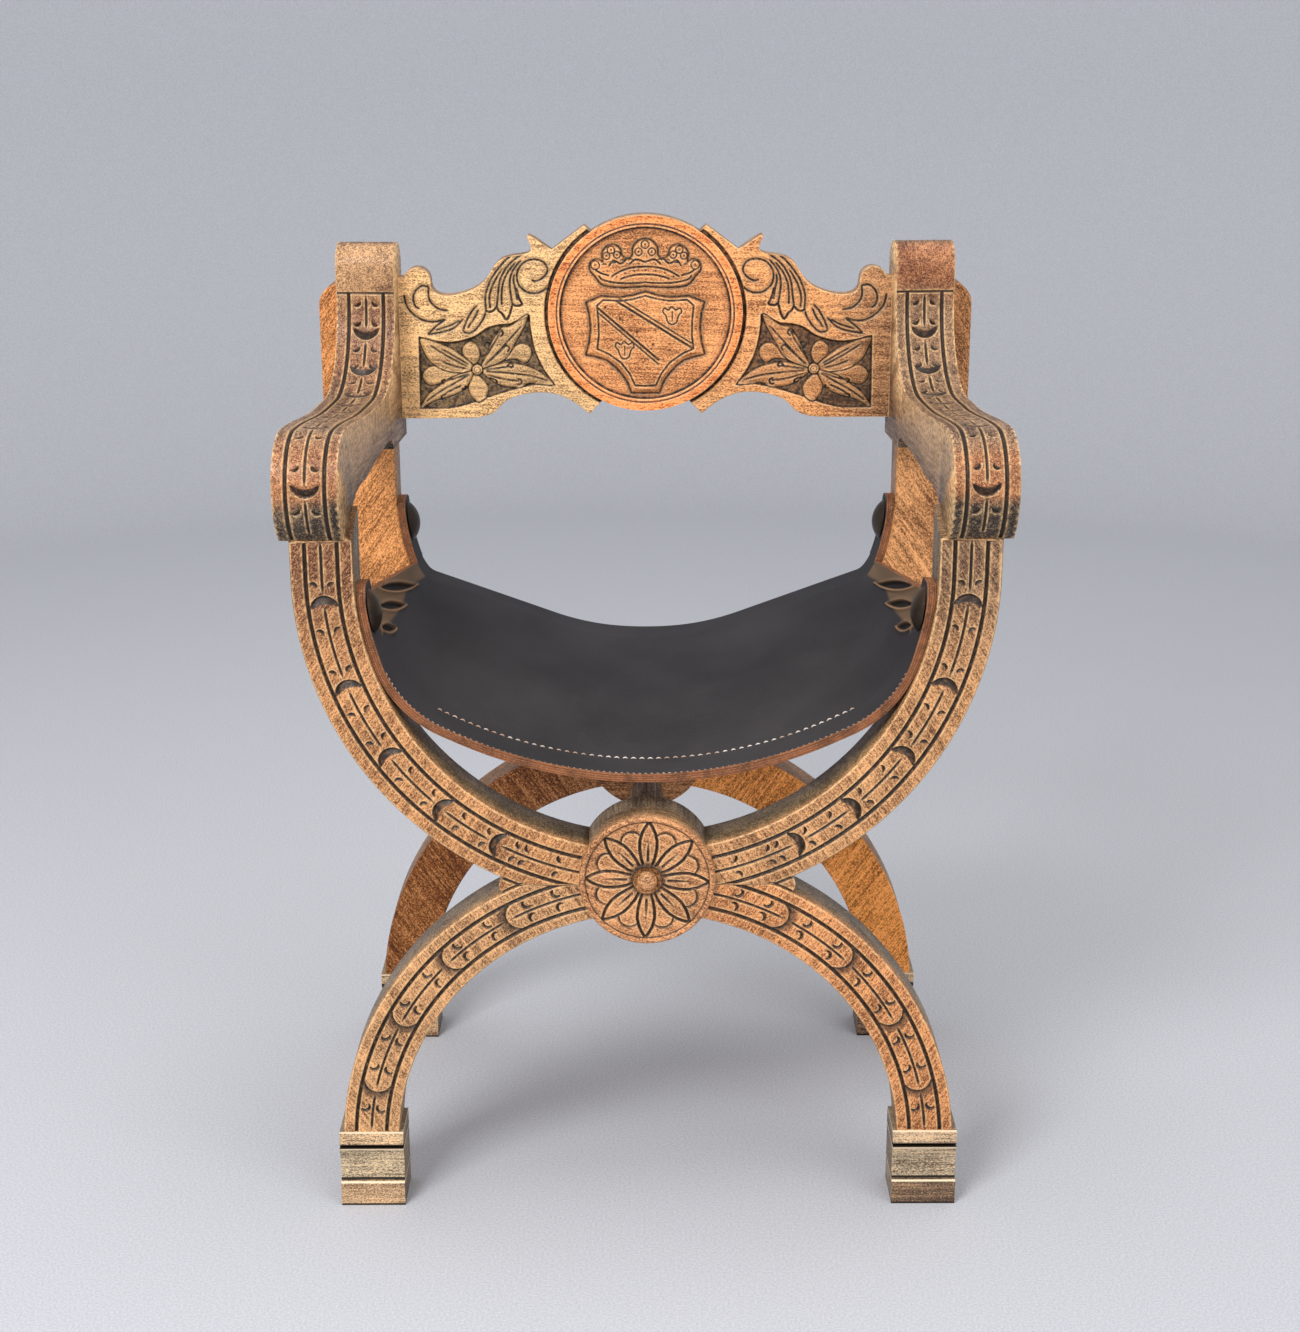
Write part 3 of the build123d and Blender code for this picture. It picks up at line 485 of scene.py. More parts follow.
class Carving:
    """Height and darkness over the points of one face, in millimetres."""

    def __init__(self, points):
        self.points = points
        self.base = np.zeros(len(points))
        self.depth = np.zeros(len(points))
        self.dark = np.zeros(len(points))
        # Wear marks rims and the edges beside cuts: worn wood with a painted highlight.
        self.wear = np.zeros(len(points))

    def seen_as(self, points):
        """The same face in other coordinates, sharing its cuts."""
        other = Carving(points)
        for name in ("base", "depth", "dark", "wear"):
            setattr(other, name, getattr(self, name))
        return other

    def near(self, line, margin):
        """The points in the box around a line."""
        line = np.asarray(line)
        low, high = line.min(axis=0) - margin, line.max(axis=0) + margin
        return np.nonzero(((self.points > low) & (self.points < high)).all(axis=1))[0]

    def cut(self, which, depth, dark, outside=None):
        """Deepens and stains points; outside is how far each lies beyond the cut's edge."""
        self.depth[which] = np.maximum(self.depth[which], depth)
        self.dark[which] = np.maximum(self.dark[which], dark)
        if outside is not None:
            # Just beyond the cut's edge: a pale line of worn wood and painted highlight.
            rubbed_and_sheen = np.clip(1 - np.abs(outside - 0.5) / 0.9, 0, 1)
            self.wear[which] = np.maximum(self.wear[which], rubbed_and_sheen)

    def groove(self, line, width, depth, taper=(0.0, 0.0), dark=1.0):
        """A V cut along a line; its ends fade over the taper lengths."""
        which = self.near(line, width + 1)
        if not len(which):
            return
        distance, place = nearest_on(self.points[which], line)
        length = np.hypot(*np.diff(np.asarray(line, float), axis=0).T).sum()
        fade = np.ones(len(which))
        if taper[0]:
            fade = fade * rise(place, -taper[0] * 0.2, taper[0])
        if taper[1]:
            fade = fade * rise(length - place, -taper[1] * 0.2, taper[1])
        reach = width / 2 * (0.3 + 0.7 * fade)
        shape = np.clip(1 - distance / reach, 0, 1)
        stain = dark * rise(shape, 0.0, 0.4) * (0.4 + 0.6 * fade)
        outside = np.where(fade > 0.3, distance - reach, 9.0) if dark > 0.5 else None
        self.cut(which, depth * shape * fade, stain, outside)

    def scoop(self, centre, radius, heading, spread, reach, depth, outward=False, dark=(0.9, 0.9)):
        """A gouge cut: steep along an arc of a circle, running out to the face over its reach.

        The arc's middle lies at the heading from the centre. An outward scoop runs out away
        from the centre. Dark is the darkening beside the steep wall and at the far end: stain in
        the cut, and on the legs' outward lunettes painted shade of the wall and below it.
        """
        which = self.near([centre], radius + reach + 1)
        if not len(which):
            return
        away = self.points[which] - np.asarray(centre)
        distance = np.hypot(*away.T)
        angle = np.arctan2(away[:, 1], away[:, 0]) - heading
        angle = np.abs((angle + pi) % tau - pi) / spread
        tip = np.sqrt(np.clip(1 - angle**2, 0, 1))
        past = (distance - radius) if outward else (radius - distance)
        run = np.clip(past / np.maximum(reach * tip, 1e-6), 0, 2)
        wall = rise(past, -0.45, 0.35)
        shape = wall * np.clip(1 - run, 0, 1) * (tip > 0.05)
        stain = (dark[0] + (dark[1] - dark[0]) * np.clip(run, 0, 1)) * rise(shape, 0.0, 0.25)
        outside = np.where(tip > 0.25, -past - 0.4, 9.0)
        self.cut(which, depth * shape * np.sqrt(tip), stain * rise(tip, 0.0, 0.3), outside)

    def inside(self, outline):
        """The points inside an outline, and their distances from it."""
        which = self.near(outline, 0.5)
        rim = closed(outline)
        which = which[crossings(self.points[which], zip(rim, rim[1:]))]
        return which, nearest_on(self.points[which], rim)[0]

    def sink(self, outline, depth, wall, dark, edge_dark):
        """Lowers the inside of an outline, with a wall of a given width just inside it."""
        which, distance = self.inside(outline)
        step = rise(distance, 0, wall)
        self.base[which] += depth * step
        foot = 1 - rise(np.abs(distance - wall), 0.0, 1.4)
        self.dark[which] = np.maximum(self.dark[which], np.maximum(dark * step, edge_dark * foot))

    def swell(self, outline, height, shoulder, clean=0.9):
        """Raises the inside of an outline, rounded over a shoulder, and clears most stain."""
        which, distance = self.inside(outline)
        self.base[which] -= height * np.sin(pi / 2 * np.clip(distance / shoulder, 0, 1))
        self.dark[which] *= 1 - clean * rise(distance, 0.2, 1.4)

    def pit(self, centre, radius, depth, dark=1.0):
        """A small round hollow."""
        which = self.near([centre], radius)
        distance = np.hypot(*(self.points[which] - np.asarray(centre)).T)
        shape = np.clip(1 - (distance / radius) ** 2, 0, 1)
        self.cut(which, depth * shape, dark * rise(shape, 0.0, 0.6))

    def leaf_line(self, line, depth=1.9, taper=(1.0, 3.0)):
        """A narrow dark cut in a wider hollow, as between the lobes of a leaf."""
        self.groove(line, 7.5, depth * 0.5, taper, 0.3)
        self.groove(line, 2.7, depth, taper, 1.0)


def loose_mesh(node):
    """The node's mesh, joined up, ready for editing."""
    mesh = bmesh.new()
    mesh.from_mesh(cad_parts[node].data)
    bmesh.ops.remove_doubles(mesh, verts=mesh.verts, dist=1e-6)
    return mesh


def carve_faces(mesh, chosen, flatten, lift, carve, pitch, layers):
    """Replaces a patch of faces with a finely meshed carved one inside the same border.

    Flatten gives a corner's place on the unrolled patch and lift brings unrolled places and
    depths back, both in millimetres on the patch. Plain areas keep one point in five.
    """
    chosen = set(chosen)
    stain_and_shade_layer, wear_and_sheen_layer = layers
    border = [
        edge for edge in mesh.edges if sum(face in chosen for face in edge.link_faces) == 1
    ]
    corners = list({vertex for edge in border for vertex in edge.verts})
    order = {vertex: place for place, vertex in enumerate(corners)}
    rim = np.array([flatten(vertex.co) for vertex in corners])
    spans = [(order[edge.verts[0]], order[edge.verts[1]]) for edge in border]
    edges = [(rim[first], rim[second]) for first, second in spans]
    facing = sum((face.normal * face.calc_area() for face in chosen), Vector()).normalized()
    bmesh.ops.delete(mesh, geom=list(chosen), context="FACES")

    low, high = rim.min(axis=0), rim.max(axis=0)
    rows = []
    for row, height in enumerate(np.arange(low[1], high[1], pitch * sqrt(0.75))):
        across = np.arange(low[0] + (row % 2) * pitch / 2, high[0], pitch)
        rows.append(np.column_stack([across, np.full(len(across), height)]))
    grid = np.concatenate(rows)
    grid = grid[crossings(grid, edges)]
    distance = np.full(len(grid), 1e9)
    for span in edges:
        distance = np.minimum(distance, nearest_on(grid, span)[0])
    grid = grid[distance > pitch * 0.55]
    trial = carve(grid)
    busy = (trial.depth > 0) | (trial.dark > 0) | (trial.base != 0) | (trial.wear > 0)
    sparse = np.arange(len(grid)) % 5 == 0
    grid = grid[busy | sparse]
    found, _, triangles, origins, _, _ = delaunay_2d_cdt(
        [Vector(point) for point in np.vstack([rim, grid])], spans, [], 0, 1e-6
    )
    places = np.array([tuple(point) for point in found])
    cuts = carve(places)
    lifted = lift(places, cuts.depth + cuts.base)
    vertices = []
    for place, dark, wear, origin in zip(lifted, cuts.dark, cuts.wear, origins):
        on_rim = [number for number in origin if number < len(rim)]
        vertex = corners[on_rim[0]] if on_rim else mesh.verts.new(place)
        vertex[stain_and_shade_layer] = max(vertex[stain_and_shade_layer], float(dark))
        vertex[wear_and_sheen_layer] = 1.0 if on_rim else float(wear)
        vertices.append(vertex)
    triangles = np.array(triangles)
    middles = places[triangles].mean(axis=1)
    made = [
        mesh.faces.new([vertices[number] for number in corners_of])
        for corners_of in triangles[crossings(middles, edges)]
    ]
    for face in made:
        face.normal_update()
    leaning = sum((face.normal * face.calc_area() for face in made), Vector())
    if leaning.dot(facing) < 0:
        bmesh.ops.reverse_faces(mesh, faces=made)


def carve_level(mesh, level, carve, pitch, layers):
    """Carves the flat face that looks to the front at a level of Y, in metres."""
    chosen = [
        face
        for face in mesh.faces
        if face.normal.dot(front) > 0.999 and abs(face.calc_center_median().y - level) < 2e-5
    ]

    def lift(points, depth):
        return np.column_stack([points[:, 0] * mm, level + depth * mm, points[:, 1] * mm])

    carve_faces(
        mesh, chosen, lambda place: (place.x / mm, place.z / mm), lift, carve, pitch, layers
    )


def stain_and_sheen_layers(mesh):
    """Vertex values that the wood's shader reads: the cuts' stain, with painted shadow in places,
    and the rubbed edges' wear, with a painted highlight.
    """
    return mesh.verts.layers.float.new("cut"), mesh.verts.layers.float.new("wear")


def finished(mesh, name, crease=38):
    """Turns an edited mesh into a piece that rides on the chair."""
    data = bpy.data.meshes.new(name)
    mesh.to_mesh(data)
    mesh.free()
    data.polygons.foreach_set("use_smooth", [True] * len(data.polygons))
    data.set_sharp_from_angle(angle=radians(crease))
    piece = bpy.data.objects.new(name, data)
    bpy.context.scene.collection.objects.link(piece)
    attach(piece, body)
    return piece


def carved_piece(mesh, name, node):
    """The piece made from a carved mesh, shown in its node's place."""
    piece = finished(mesh, name)
    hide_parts(node)
    return piece


def carved_node(node, faces, pitch, name=None):
    """A copy of a node with carved flat faces, shown in its place."""
    mesh = loose_mesh(node)
    layers = stain_and_sheen_layers(mesh)
    for level, carve in faces:
        carve_level(mesh, level, carve, pitch, layers)
    return carved_piece(mesh, name or f"carved_{node}", node)


# ---- border motif ----------------------------------------------------------------------------
band_half = 14.2           # of the field between the two border grooves
border_width = 4.2
groove_start = -10.0       # place along the bands where their border grooves begin
lunette_radius = 12.8
nick_radius = 4.6
nick_tilt = 0.6
nick_offset = 8.2          # from the centre line
# Places along each band in millimetres, from the end away from the hub or from the armrest's
# top: crowns of the lunettes, and pairs of small nicks between them.
rib_lunettes = (49, 128, 201, 269, 329)
rib_nicks = (35.5, 77.5, 115, 156, 186, 227, 257.5, 293, 320.5, 350, 359, 390.5)
leg_lunettes = (42, 115, 190, 262)
leg_nicks = (22, 64, 96, 134, 169, 208, 242, 282, 310)
arm_lunettes = (45, 86, 128, 169, 210, 250, 290, 330, 411)
arm_nicks = (14, 33, 59, 78, 100, 119, 141, 160, 182, 201, 222, 241, 262, 281, 302, 321,
             355, 389, 428)


def border_motif(band, lunettes, nicks, crown, outward, ends, scale=1.0):
    """Lunettes and pairs of nicks beside a centre line, in band coordinates.

    Crown is -1 where the lunettes' crowns look back along the band and 1 where they look ahead.
    """
    heading = crown * pi / 2
    lip = 4 if outward else 10
    stops = [ends[0] - 5, *lunettes, ends[1] + 20]
    for start, stop in zip(stops, stops[1:]):
        line_start, line_stop = start + lip, stop - 2
        if crown > 0:
            line_start, line_stop = start + 2, stop - lip
        line_start, line_stop = max(line_start, ends[0]), min(line_stop, ends[1])
        if line_stop - line_start > 6:
            band.groove([(0, line_start), (0, line_stop)], 2.9, 1.8, (6.0, 6.0), 1.0)
    for place in lunettes:
        centre = (0, place - crown * lunette_radius)
        if outward:
            # On the legs the dark line along each lunette and the grey fading below it are painted
            # shade.
            band.scoop(centre, lunette_radius, heading, 1.25, 9.5, 3.0, True, (1.0, 0.3))
        else:
            band.scoop(centre, lunette_radius, heading, 1.42, 8.5, 3.6, dark=(1.0, 0.9))
    for place in nicks:
        for half in (-1, 1):
            tilted = heading + crown * nick_tilt * half
            spot = (half * nick_offset * scale, place - crown * nick_radius)
            band.scoop(spot, nick_radius * 0.82, tilted, 1.35, 3.4, 2.6, outward, (1.0, 0.85))


def border_grooves(band):
    """The long grooves at both sides of a band's field."""
    across, along = band.points.T
    depth = bpy.context.scene.armchair_wood.groove_depth / mm
    begun = rise(along, groove_start - 1.5, groove_start + 1.5)
    for edge in (-band_half, band_half):
        distance = np.abs(across - edge)
        shape = np.clip(1 - distance / (border_width / 2), 0, 1)
        stain = rise(shape, 0.0, 0.4) * begun
        band.cut(slice(None), depth * shape * begun, stain, distance - border_width / 2)


# ---- front frame -----------------------------------------------------------------------------
def rib_band(points, side):
    """Band coordinates of a rib: across from its middle arc, and down from its top end."""
    middle = (bowl_inner + bowl_outer) / 2
    away = points - np.array([0, bowl_centre])
    angle = np.arctan2(side * away[:, 0], -away[:, 1])
    above = away[:, 1] > 0
    across = np.where(above, side * away[:, 0], np.hypot(*away.T)) - middle
    along = np.where(above, -away[:, 1], (pi / 2 - angle) * middle)
    return np.column_stack([across, along + 33])


def leg_band(points, side):
    """Band coordinates of a leg: across from its middle arc, and up from its foot."""
    middle = (arch_inner + arch_outer) / 2
    away = points - np.array([0, arch_centre])
    angle = np.arctan2(side * away[:, 0], away[:, 1])
    return np.column_stack([np.hypot(*away.T) - middle, (pi / 2 - angle) * middle - 13])


def fork_lines(carving, side):
    """The cuts that part the leaf in the fork from the rib above it and the leg below it."""
    for centre, radius, up in ((bowl_centre, bowl_outer, -1), (arch_centre, arch_outer, 1)):
        reach = np.linspace(112, 137, 12)
        heights = centre + up * np.sqrt(radius**2 - reach**2) + (1.2 if up > 0 else 0.0)
        line = np.column_stack([side * reach, heights])
        carving.groove(line, 3.0, 2.0, (4.0, 0.0), 1.0)


class ARMCHAIR_OT_front_frame(bpy.types.Operator):
    """Carves the front frame's ribs and legs"""

    bl_idname = "armchair.front_frame"
    bl_label = "Front Frame"

    def execute(self, context):
        pitch = context.scene.armchair_wood.carving_pitch / mm
        for side_name, side in sides.items():

            def carve_rib(points, side=side):
                carving = Carving(points)
                band = carving.seen_as(rib_band(points, side))
                border_grooves(band)
                border_motif(band, rib_lunettes, rib_nicks, -1, False, (-5, 440))
                fork_lines(carving, side)
                return carving

            def carve_leg(points, side=side):
                carving = Carving(points)
                band = carving.seen_as(leg_band(points, side))
                border_grooves(band)
                border_motif(band, leg_lunettes, leg_nicks, -1, True, (2, 345))
                return carving

            darker_top = [(2, 0.50, 0.62, face_tones[f"{side_name}_armrest"])]
            for part, carve, lean, blends in (
                ("rib", carve_rib, grain_lean, darker_top), ("leg", carve_leg, -grain_lean, ())
            ):
                node = f"front_{side_name}_{part}"
                piece = carved_node(node, [(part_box(node)[0].y, carve)], pitch)
                turn = (0, side * lean, 0)
                dress(piece, wood(
                    f"wood_{node}", face_tones[node], turn, side_shade_tones[part], blends, carved=True
                ))
        return {"FINISHED"}


# ---- armrests --------------------------------------------------------------------------------
arm_coarseness = 1.15      # spacing of the armrests' points, compared with the other carving


class ArmStrip:
    """The unrolled front and top of an armrest: across its width and down from its top."""

    def __init__(self, mesh, side):
        skew = asin(arm_toe_in / frame_pitch)
        self.rearwards = Vector((-side * sin(skew), cos(skew), 0))
        self.outwards = Vector((side * cos(skew), sin(skew), 0))
        self.origin = Vector((side * arm_inner * mm, cad_front, 0))
        inner = {
            vertex
            for vertex in mesh.verts
            if abs((vertex.co - self.origin).dot(self.outwards)) < 1e-5
        }
        faces = {
            face
            for face in mesh.faces
            if inner.issuperset(face.verts) and face.normal.dot(self.outwards) < -0.9
        }
        rim = {}
        for edge in mesh.edges:
            if sum(face in faces for face in edge.link_faces) == 1:
                for one, other in (edge.verts, reversed(edge.verts)):
                    rim.setdefault(one, []).append(other)
        flat = {vertex: np.array(self.side_view(vertex.co)) for vertex in rim}
        here = min(rim, key=lambda vertex: np.hypot(*(flat[vertex] - (0, arm_foot))))
        there = min(rim[here], key=lambda vertex: flat[vertex][0])
        walk = [here, there]
        for _ in rim:
            depth, height = flat[walk[-1]]
            if depth > frame_pitch and height < arm_top:
                break
            walk.append(next(vertex for vertex in rim[walk[-1]] if vertex is not walk[-2]))
        self.knots = np.array([flat[vertex] for vertex in reversed(walk)])
        chords = np.hypot(*np.diff(self.knots, axis=0).T)
        self.run = np.concatenate([[0], np.cumsum(chords)])
        slopes = np.diff(self.knots, axis=0) / chords[:, None]
        middle = (slopes[:-1] * chords[1:, None] + slopes[1:] * chords[:-1, None]) / (
            chords[1:] + chords[:-1]
        )[:, None]
        straight = np.arccos(np.clip((slopes[:-1] * slopes[1:]).sum(axis=1), -1, 1)) > 0.35
        middle[straight] = slopes[:-1][straight]
        self.slopes = np.vstack([slopes[:1], middle, slopes[-1:]])
        self.chosen = [face for face in mesh.faces if self.holds(face)]

    def side_view(self, place):
        """Depth along the armrest and height, in millimetres."""
        return (place - self.origin).dot(self.rearwards) / mm, place.z / mm

    def holds(self, face):
        """Whether a face belongs to the front and top of the armrest."""
        if abs(face.normal.dot(self.outwards)) > 0.1:
            return False
        place = np.array([self.side_view(face.calc_center_median())])
        away, _ = nearest_on(place, self.knots)
        return away[0] < 0.35

    def flatten(self, place):
        """Where a corner lies on the unrolled strip."""
        _, run = nearest_on(np.array([self.side_view(place)]), self.knots)
        return (place - self.origin).dot(self.outwards) / mm, run[0]

    def lift(self, points, depth):
        """Unrolled points back on the armrest, sunk by their depths."""
        across, run = points.T
        span = np.clip(np.searchsorted(self.run, run, side="right") - 1, 0, len(self.run) - 2)
        length = self.run[span + 1] - self.run[span]
        t = ((run - self.run[span]) / length)[:, None]
        first, second = self.knots[span], self.knots[span + 1]
        leave, arrive = self.slopes[span] * length[:, None], self.slopes[span + 1] * length[:, None]
        place = (
            (2 * t**3 - 3 * t**2 + 1) * first + (t**3 - 2 * t**2 + t) * leave
            + (3 * t**2 - 2 * t**3) * second + (t**3 - t**2) * arrive
        )
        heading = (
            (6 * t**2 - 6 * t) * first + (3 * t**2 - 4 * t + 1) * leave
            + (6 * t - 6 * t**2) * second + (3 * t**2 - 2 * t) * arrive
        )
        heading = heading / np.hypot(*heading.T)[:, None]
        inwards = np.column_stack([-heading[:, 1], heading[:, 0]])
        place = place + inwards * depth[:, None]
        return (
            np.array(self.origin)
            + np.outer(place[:, 0], self.rearwards) * mm
            + np.outer(place[:, 1], (0, 0, 1)) * mm
            + np.outer(across, self.outwards) * mm
        )


def carve_armrest(points):
    """Two long grooves, one across their start, and the border motif between them."""
    carving = Carving(points)
    band = carving.seen_as(points - np.array([arm_middle, arm_carving_top]))
    across, along = band.points.T
    begun = rise(along, -1.0, 1.5)
    for edge in (-arm_field_half, arm_field_half):
        distance = np.abs(across - edge)
        shape = np.clip(1 - distance / (border_width / 2), 0, 1)
        outside = np.where(begun > 0.5, distance - border_width / 2, 9.0)
        band.cut(slice(None), 2.2 * shape * begun, rise(shape, 0, 0.4) * begun, outside)
    band.groove([(-40, 0), (40, 0)], 2.4, 1.6, dark=0.9)
    border_motif(band, arm_lunettes, arm_nicks, 1, False, (2, 450), 1.1)
    return carving


class ARMCHAIR_OT_armrests(bpy.types.Operator):
    """Carves the tops and fronts of the armrests"""

    bl_idname = "armchair.armrests"
    bl_label = "Armrests"

    def execute(self, context):
        pitch = context.scene.armchair_wood.carving_pitch / mm * arm_coarseness
        for side_name, side in sides.items():
            node = f"{side_name}_armrest"
            mesh = loose_mesh(node)
            layers = stain_and_sheen_layers(mesh)
            strip = ArmStrip(mesh, side)
            carve_faces(
                mesh, strip.chosen, strip.flatten, strip.lift, carve_armrest, pitch, layers
            )
            piece = carved_piece(mesh, f"carved_{node}", node)
            top = (0.43, 0.245, 0.12) if side < 0 else (0.27, 0.095, 0.038)
            # The near-black colour at the scroll's foot is painted shade under its curl.
            scroll, scroll_foot_shade = (0.31, 0.118, 0.047), (0.034, 0.025, 0.021)
            blends = [
                (2, 0.735, 0.715, scroll), (2, 0.692, 0.675, scroll_foot_shade), (2, 0.80, 0.835, top)
            ]
            dress(piece, wood(
                f"wood_{node}", face_tones[node], (radians(90), 0, 0), side_shade_tones["armrest"],
                blends, carved=True,
            ))
        return {"FINISHED"}


# ---- rosette ---------------------------------------------------------------------------------
petal_tip = 56.0
petal_root = 15.0
petal_half_width = 7.9
petals = 8
petal_turn = radians(2)    # of the first petal away from upright
lobe_ring = 38.5           # from the middle to the middles of the lobes between the petals
lobe_radius = 9.5


def carve_rosette(points):
    """Eight pointed petals in V cuts, with a round lobe between each two."""
    carving = Carving(points)
    middle = np.array([0, hub_height])
    along = np.linspace(0, 1, 17)
    run = petal_root + (petal_tip - petal_root) * along
    width = petal_half_width * np.interp(
        along, (0, 0.15, 0.35, 0.55, 0.75, 0.9, 1), (0.55, 0.78, 0.97, 1.0, 0.74, 0.36, 0.0)
    )
    for number in range(petals):
        angle = tau * number / petals + petal_turn
        heading = np.array([sin(angle), cos(angle)])
        beside = np.array([cos(angle), -sin(angle)])
        for half in (-1, 1):
            line = middle + run[:, None] * heading + half * width[:, None] * beside
            carving.groove(line, 3.4, 2.4, (0.0, 1.0), 1.0)
        vein = middle + np.outer([petal_root + 4, petal_root + 24], heading)
        carving.groove(vein, 3.0, 1.8, (0.0, 14.0), 0.9)
        lobe_angle = angle + pi / petals
        lobe = middle + lobe_ring * np.array([sin(lobe_angle), cos(lobe_angle)])
        carving.scoop(lobe, lobe_radius, pi / 2 - lobe_angle, 1.5, 3.0, 2.0, True, (1.0, 0.4))
    radius = np.hypot(*(points - middle).T)
    carving.base += 2.0 * (1 - rise(radius, 12.0, 21.0))
    carving.dark = np.maximum(carving.dark, 0.9 * (1 - rise(radius, 13.0, 19.5)))
    carving.dark = np.maximum(carving.dark, 0.95 * rise(radius, 54.8, 56.0))
    return carving


class ARMCHAIR_OT_rosette(bpy.types.Operator):
    """Carves the petals of the front rosette"""

    bl_idname = "armchair.rosette"
    bl_label = "Rosette"

    def execute(self, context):
        pitch = context.scene.armchair_wood.carving_pitch / mm
        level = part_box("front_rosette")[0].y + rosette_rim * mm
        piece = carved_node("front_rosette", [(level, carve_rosette)], pitch, "carved_rosette")
        dress(piece, wood(
            "wood_front_rosette", face_tones["front_rosette"], (0, radians(70), 0),
            side_shade_tones["rosette"], carved=True,
        ))
        return {"FINISHED"}


# ---- back board ------------------------------------------------------------------------------
# Ornament of one half of the board, as distances outwards and up from the medallion's centre.
panel = ((224, -23), (204, -27.6), (187, -27.7), (169, -22.5), (157, -14.7), (146, -11.4),
         (134, -10.4), (114.6, -1.7), (114, -15), (110, -36), (101.5, -55), (90.4, -71.2),
         (109, -70.2), (126.5, -73.7), (151, -80.8), (180, -90.4), (197.5, -93.9), (224.6, -93.5))
flower = (167.4, -55.9)
round_petals = (
    ((171, -50), (181, -41), (181, -33), (174, -28.6), (167, -32), (164.5, -42)),
    ((175, -57), (191, -57), (203, -53), (215, -53.5), (222, -61), (217, -69.5), (205, -69)),
    ((169, -62), (176.5, -72.5), (174, -82), (166.4, -86.9), (158.4, -81.6), (157.5, -72)),
    ((160, -53), (143, -47.5), (129, -45.5), (120, -49), (113.8, -43), (113.8, -35.8),
     (119, -31.4), (128, -32.3), (139, -43)),
)
long_leaves = (
    ((171.7, -51), (184, -41), (197, -33.5), (221.8, -25.8), (219.6, -39), (212, -49), (196, -56),
     (176, -57)),
    ((163.5, -51), (156, -35), (150, -24), (143, -15.6), (134, -13.5), (117, -3.5), (120, -15),
     (129, -29), (139, -43), (160, -53.5)),
    ((161.3, -56), (144, -51), (133, -50.5), (118, -53), (104, -59.5), (92.5, -70), (115, -69),
     (126, -72.5), (144, -71), (161, -60.5)),
    ((172, -61), (179, -74), (192, -81), (209, -85.5), (223.5, -92), (218, -81), (205.7, -72),
     (191, -63.5), (174, -58.5)),
)
leaf_veins = (
    ((202.8, -34.7), (186, -44.4), (175, -51)), ((203, -47), (190, -52), (177, -55)),
    ((214, -31), (200, -40), (186, -48), (176, -53)),
    ((143, -16), (148, -26), (157, -40), (163, -50)),
    ((122, -12), (135, -26), (150, -42), (161, -52)),
    ((136, -30), (146, -39), (160, -52)),
    ((132, -52.5), (146, -54), (160, -56)), ((96, -67), (115, -62), (138, -59), (160, -57.5)),
    ((124, -67.5), (142, -65), (158, -60.5)),
    ((182.5, -71), (197, -78), (203, -83)), ((220, -88), (204, -77), (188, -68), (174, -60)),
    ((200, -67), (188, -64), (175, -59.5)),
)
leaf_curls = (
    ((157, -36.5), (159.5, -31.5), (156, -29.5), (154, -32.5)),
    ((149, -22), (144, -16), (141, -19.5), (144, -23.5)),
    ((148, -41), (139.7, -32.5), (135, -34), (137, -38.5)),
    ((138, -52.8), (134, -49), (131.7, -52), (134.5, -54.5)),
    ((128, -64.7), (123.7, -66.5), (124.5, -70.2), (129, -70.5)),
    ((156, -64), (149.2, -66.3), (148.6, -69.4), (153, -69.6)),
    ((179.2, -71), (180.2, -75.3), (183.5, -74.5)),
    ((202.6, -86.5), (203.5, -82.4), (199, -80)),
    ((200.5, -70.5), (203, -67.3), (199, -65)),
)
volute = ((112.2, 32.9), (107.1, 31.7), (100, 35.5), (96.1, 41.5), (98.1, 48.4), (104.1, 52.3),
          (111.9, 52.7), (119.7, 49.3), (125.1, 42.4), (126.1, 33.8), (122.8, 26), (115.9, 20.8),
          (107.3, 19.9), (99.5, 23), (96.5, 27))
shoulder_lines = (
    ((157.2, 3.6), (157.6, 16.6), (154, 28.7), (146.8, 40.8), (136.1, 53), (125.6, 60.5)),
    ((153, 5), (153.5, 17), (149, 30), (141, 43)),
    ((146.7, 6), (145, 19), (143.4, 30.4), (139.9, 39), (132.7, 49), (121, 58)),
    ((141.5, 8), (141.5, 19), (140, 29.5), (135.5, 39.5), (127, 50.5)),
    ((131, 8.6), (132.7, 20), (133.4, 28.7), (132, 37.3), (127.6, 45.5), (121, 53)),
    ((126.2, 13), (128, 24.5), (129.5, 32.5), (128.5, 40)),
)
lobe_edge = ((157.4, 3), (154, 1.6), (150, 3), (146.7, 6), (144.6, 2.6), (141, -0.6), (137.4, -6),
             (134, -1), (131, 8.6), (128, 7.6), (121.7, 8.8), (124.6, 15.5), (126.8, 24))
horn_lines = (
    ((212.3, 26.3), (220.1, 27.2), (226.4, 22.1), (228.7, 15.1), (226.8, 7.3), (221.7, 4.7)),
    ((213.2, 26.3), (213.5, 16.8), (210.2, 9.9), (203.5, 4.7), (193.7, 3.0)),
    ((238, 19), (234.7, 6.5), (225, -3.5), (212.5, -8.0), (199, -6.5)),
)
spray_lines = (
    ((215.5, -20.6), (207.4, -12.8), (198.5, -5.8), (206.5, -7.8)),
    ((215.5, -20.6), (199, -17.6), (188.2, -13.2), (179.2, -4.1)),
    ((207.5, -16.3), (191.6, -11.1), (182.5, -6.0)),
    ((180.5, -18.1), (178.5, -11.1), (172.1, 1.1), (165.2, 9.0)),
    ((180.5, -18.1), (172.6, -19), (165.5, -12.9), (159.6, -4.2), (157.4, 2.5)),
    ((176, -14.6), (168.8, -4.2), (164.4, 5)),
)
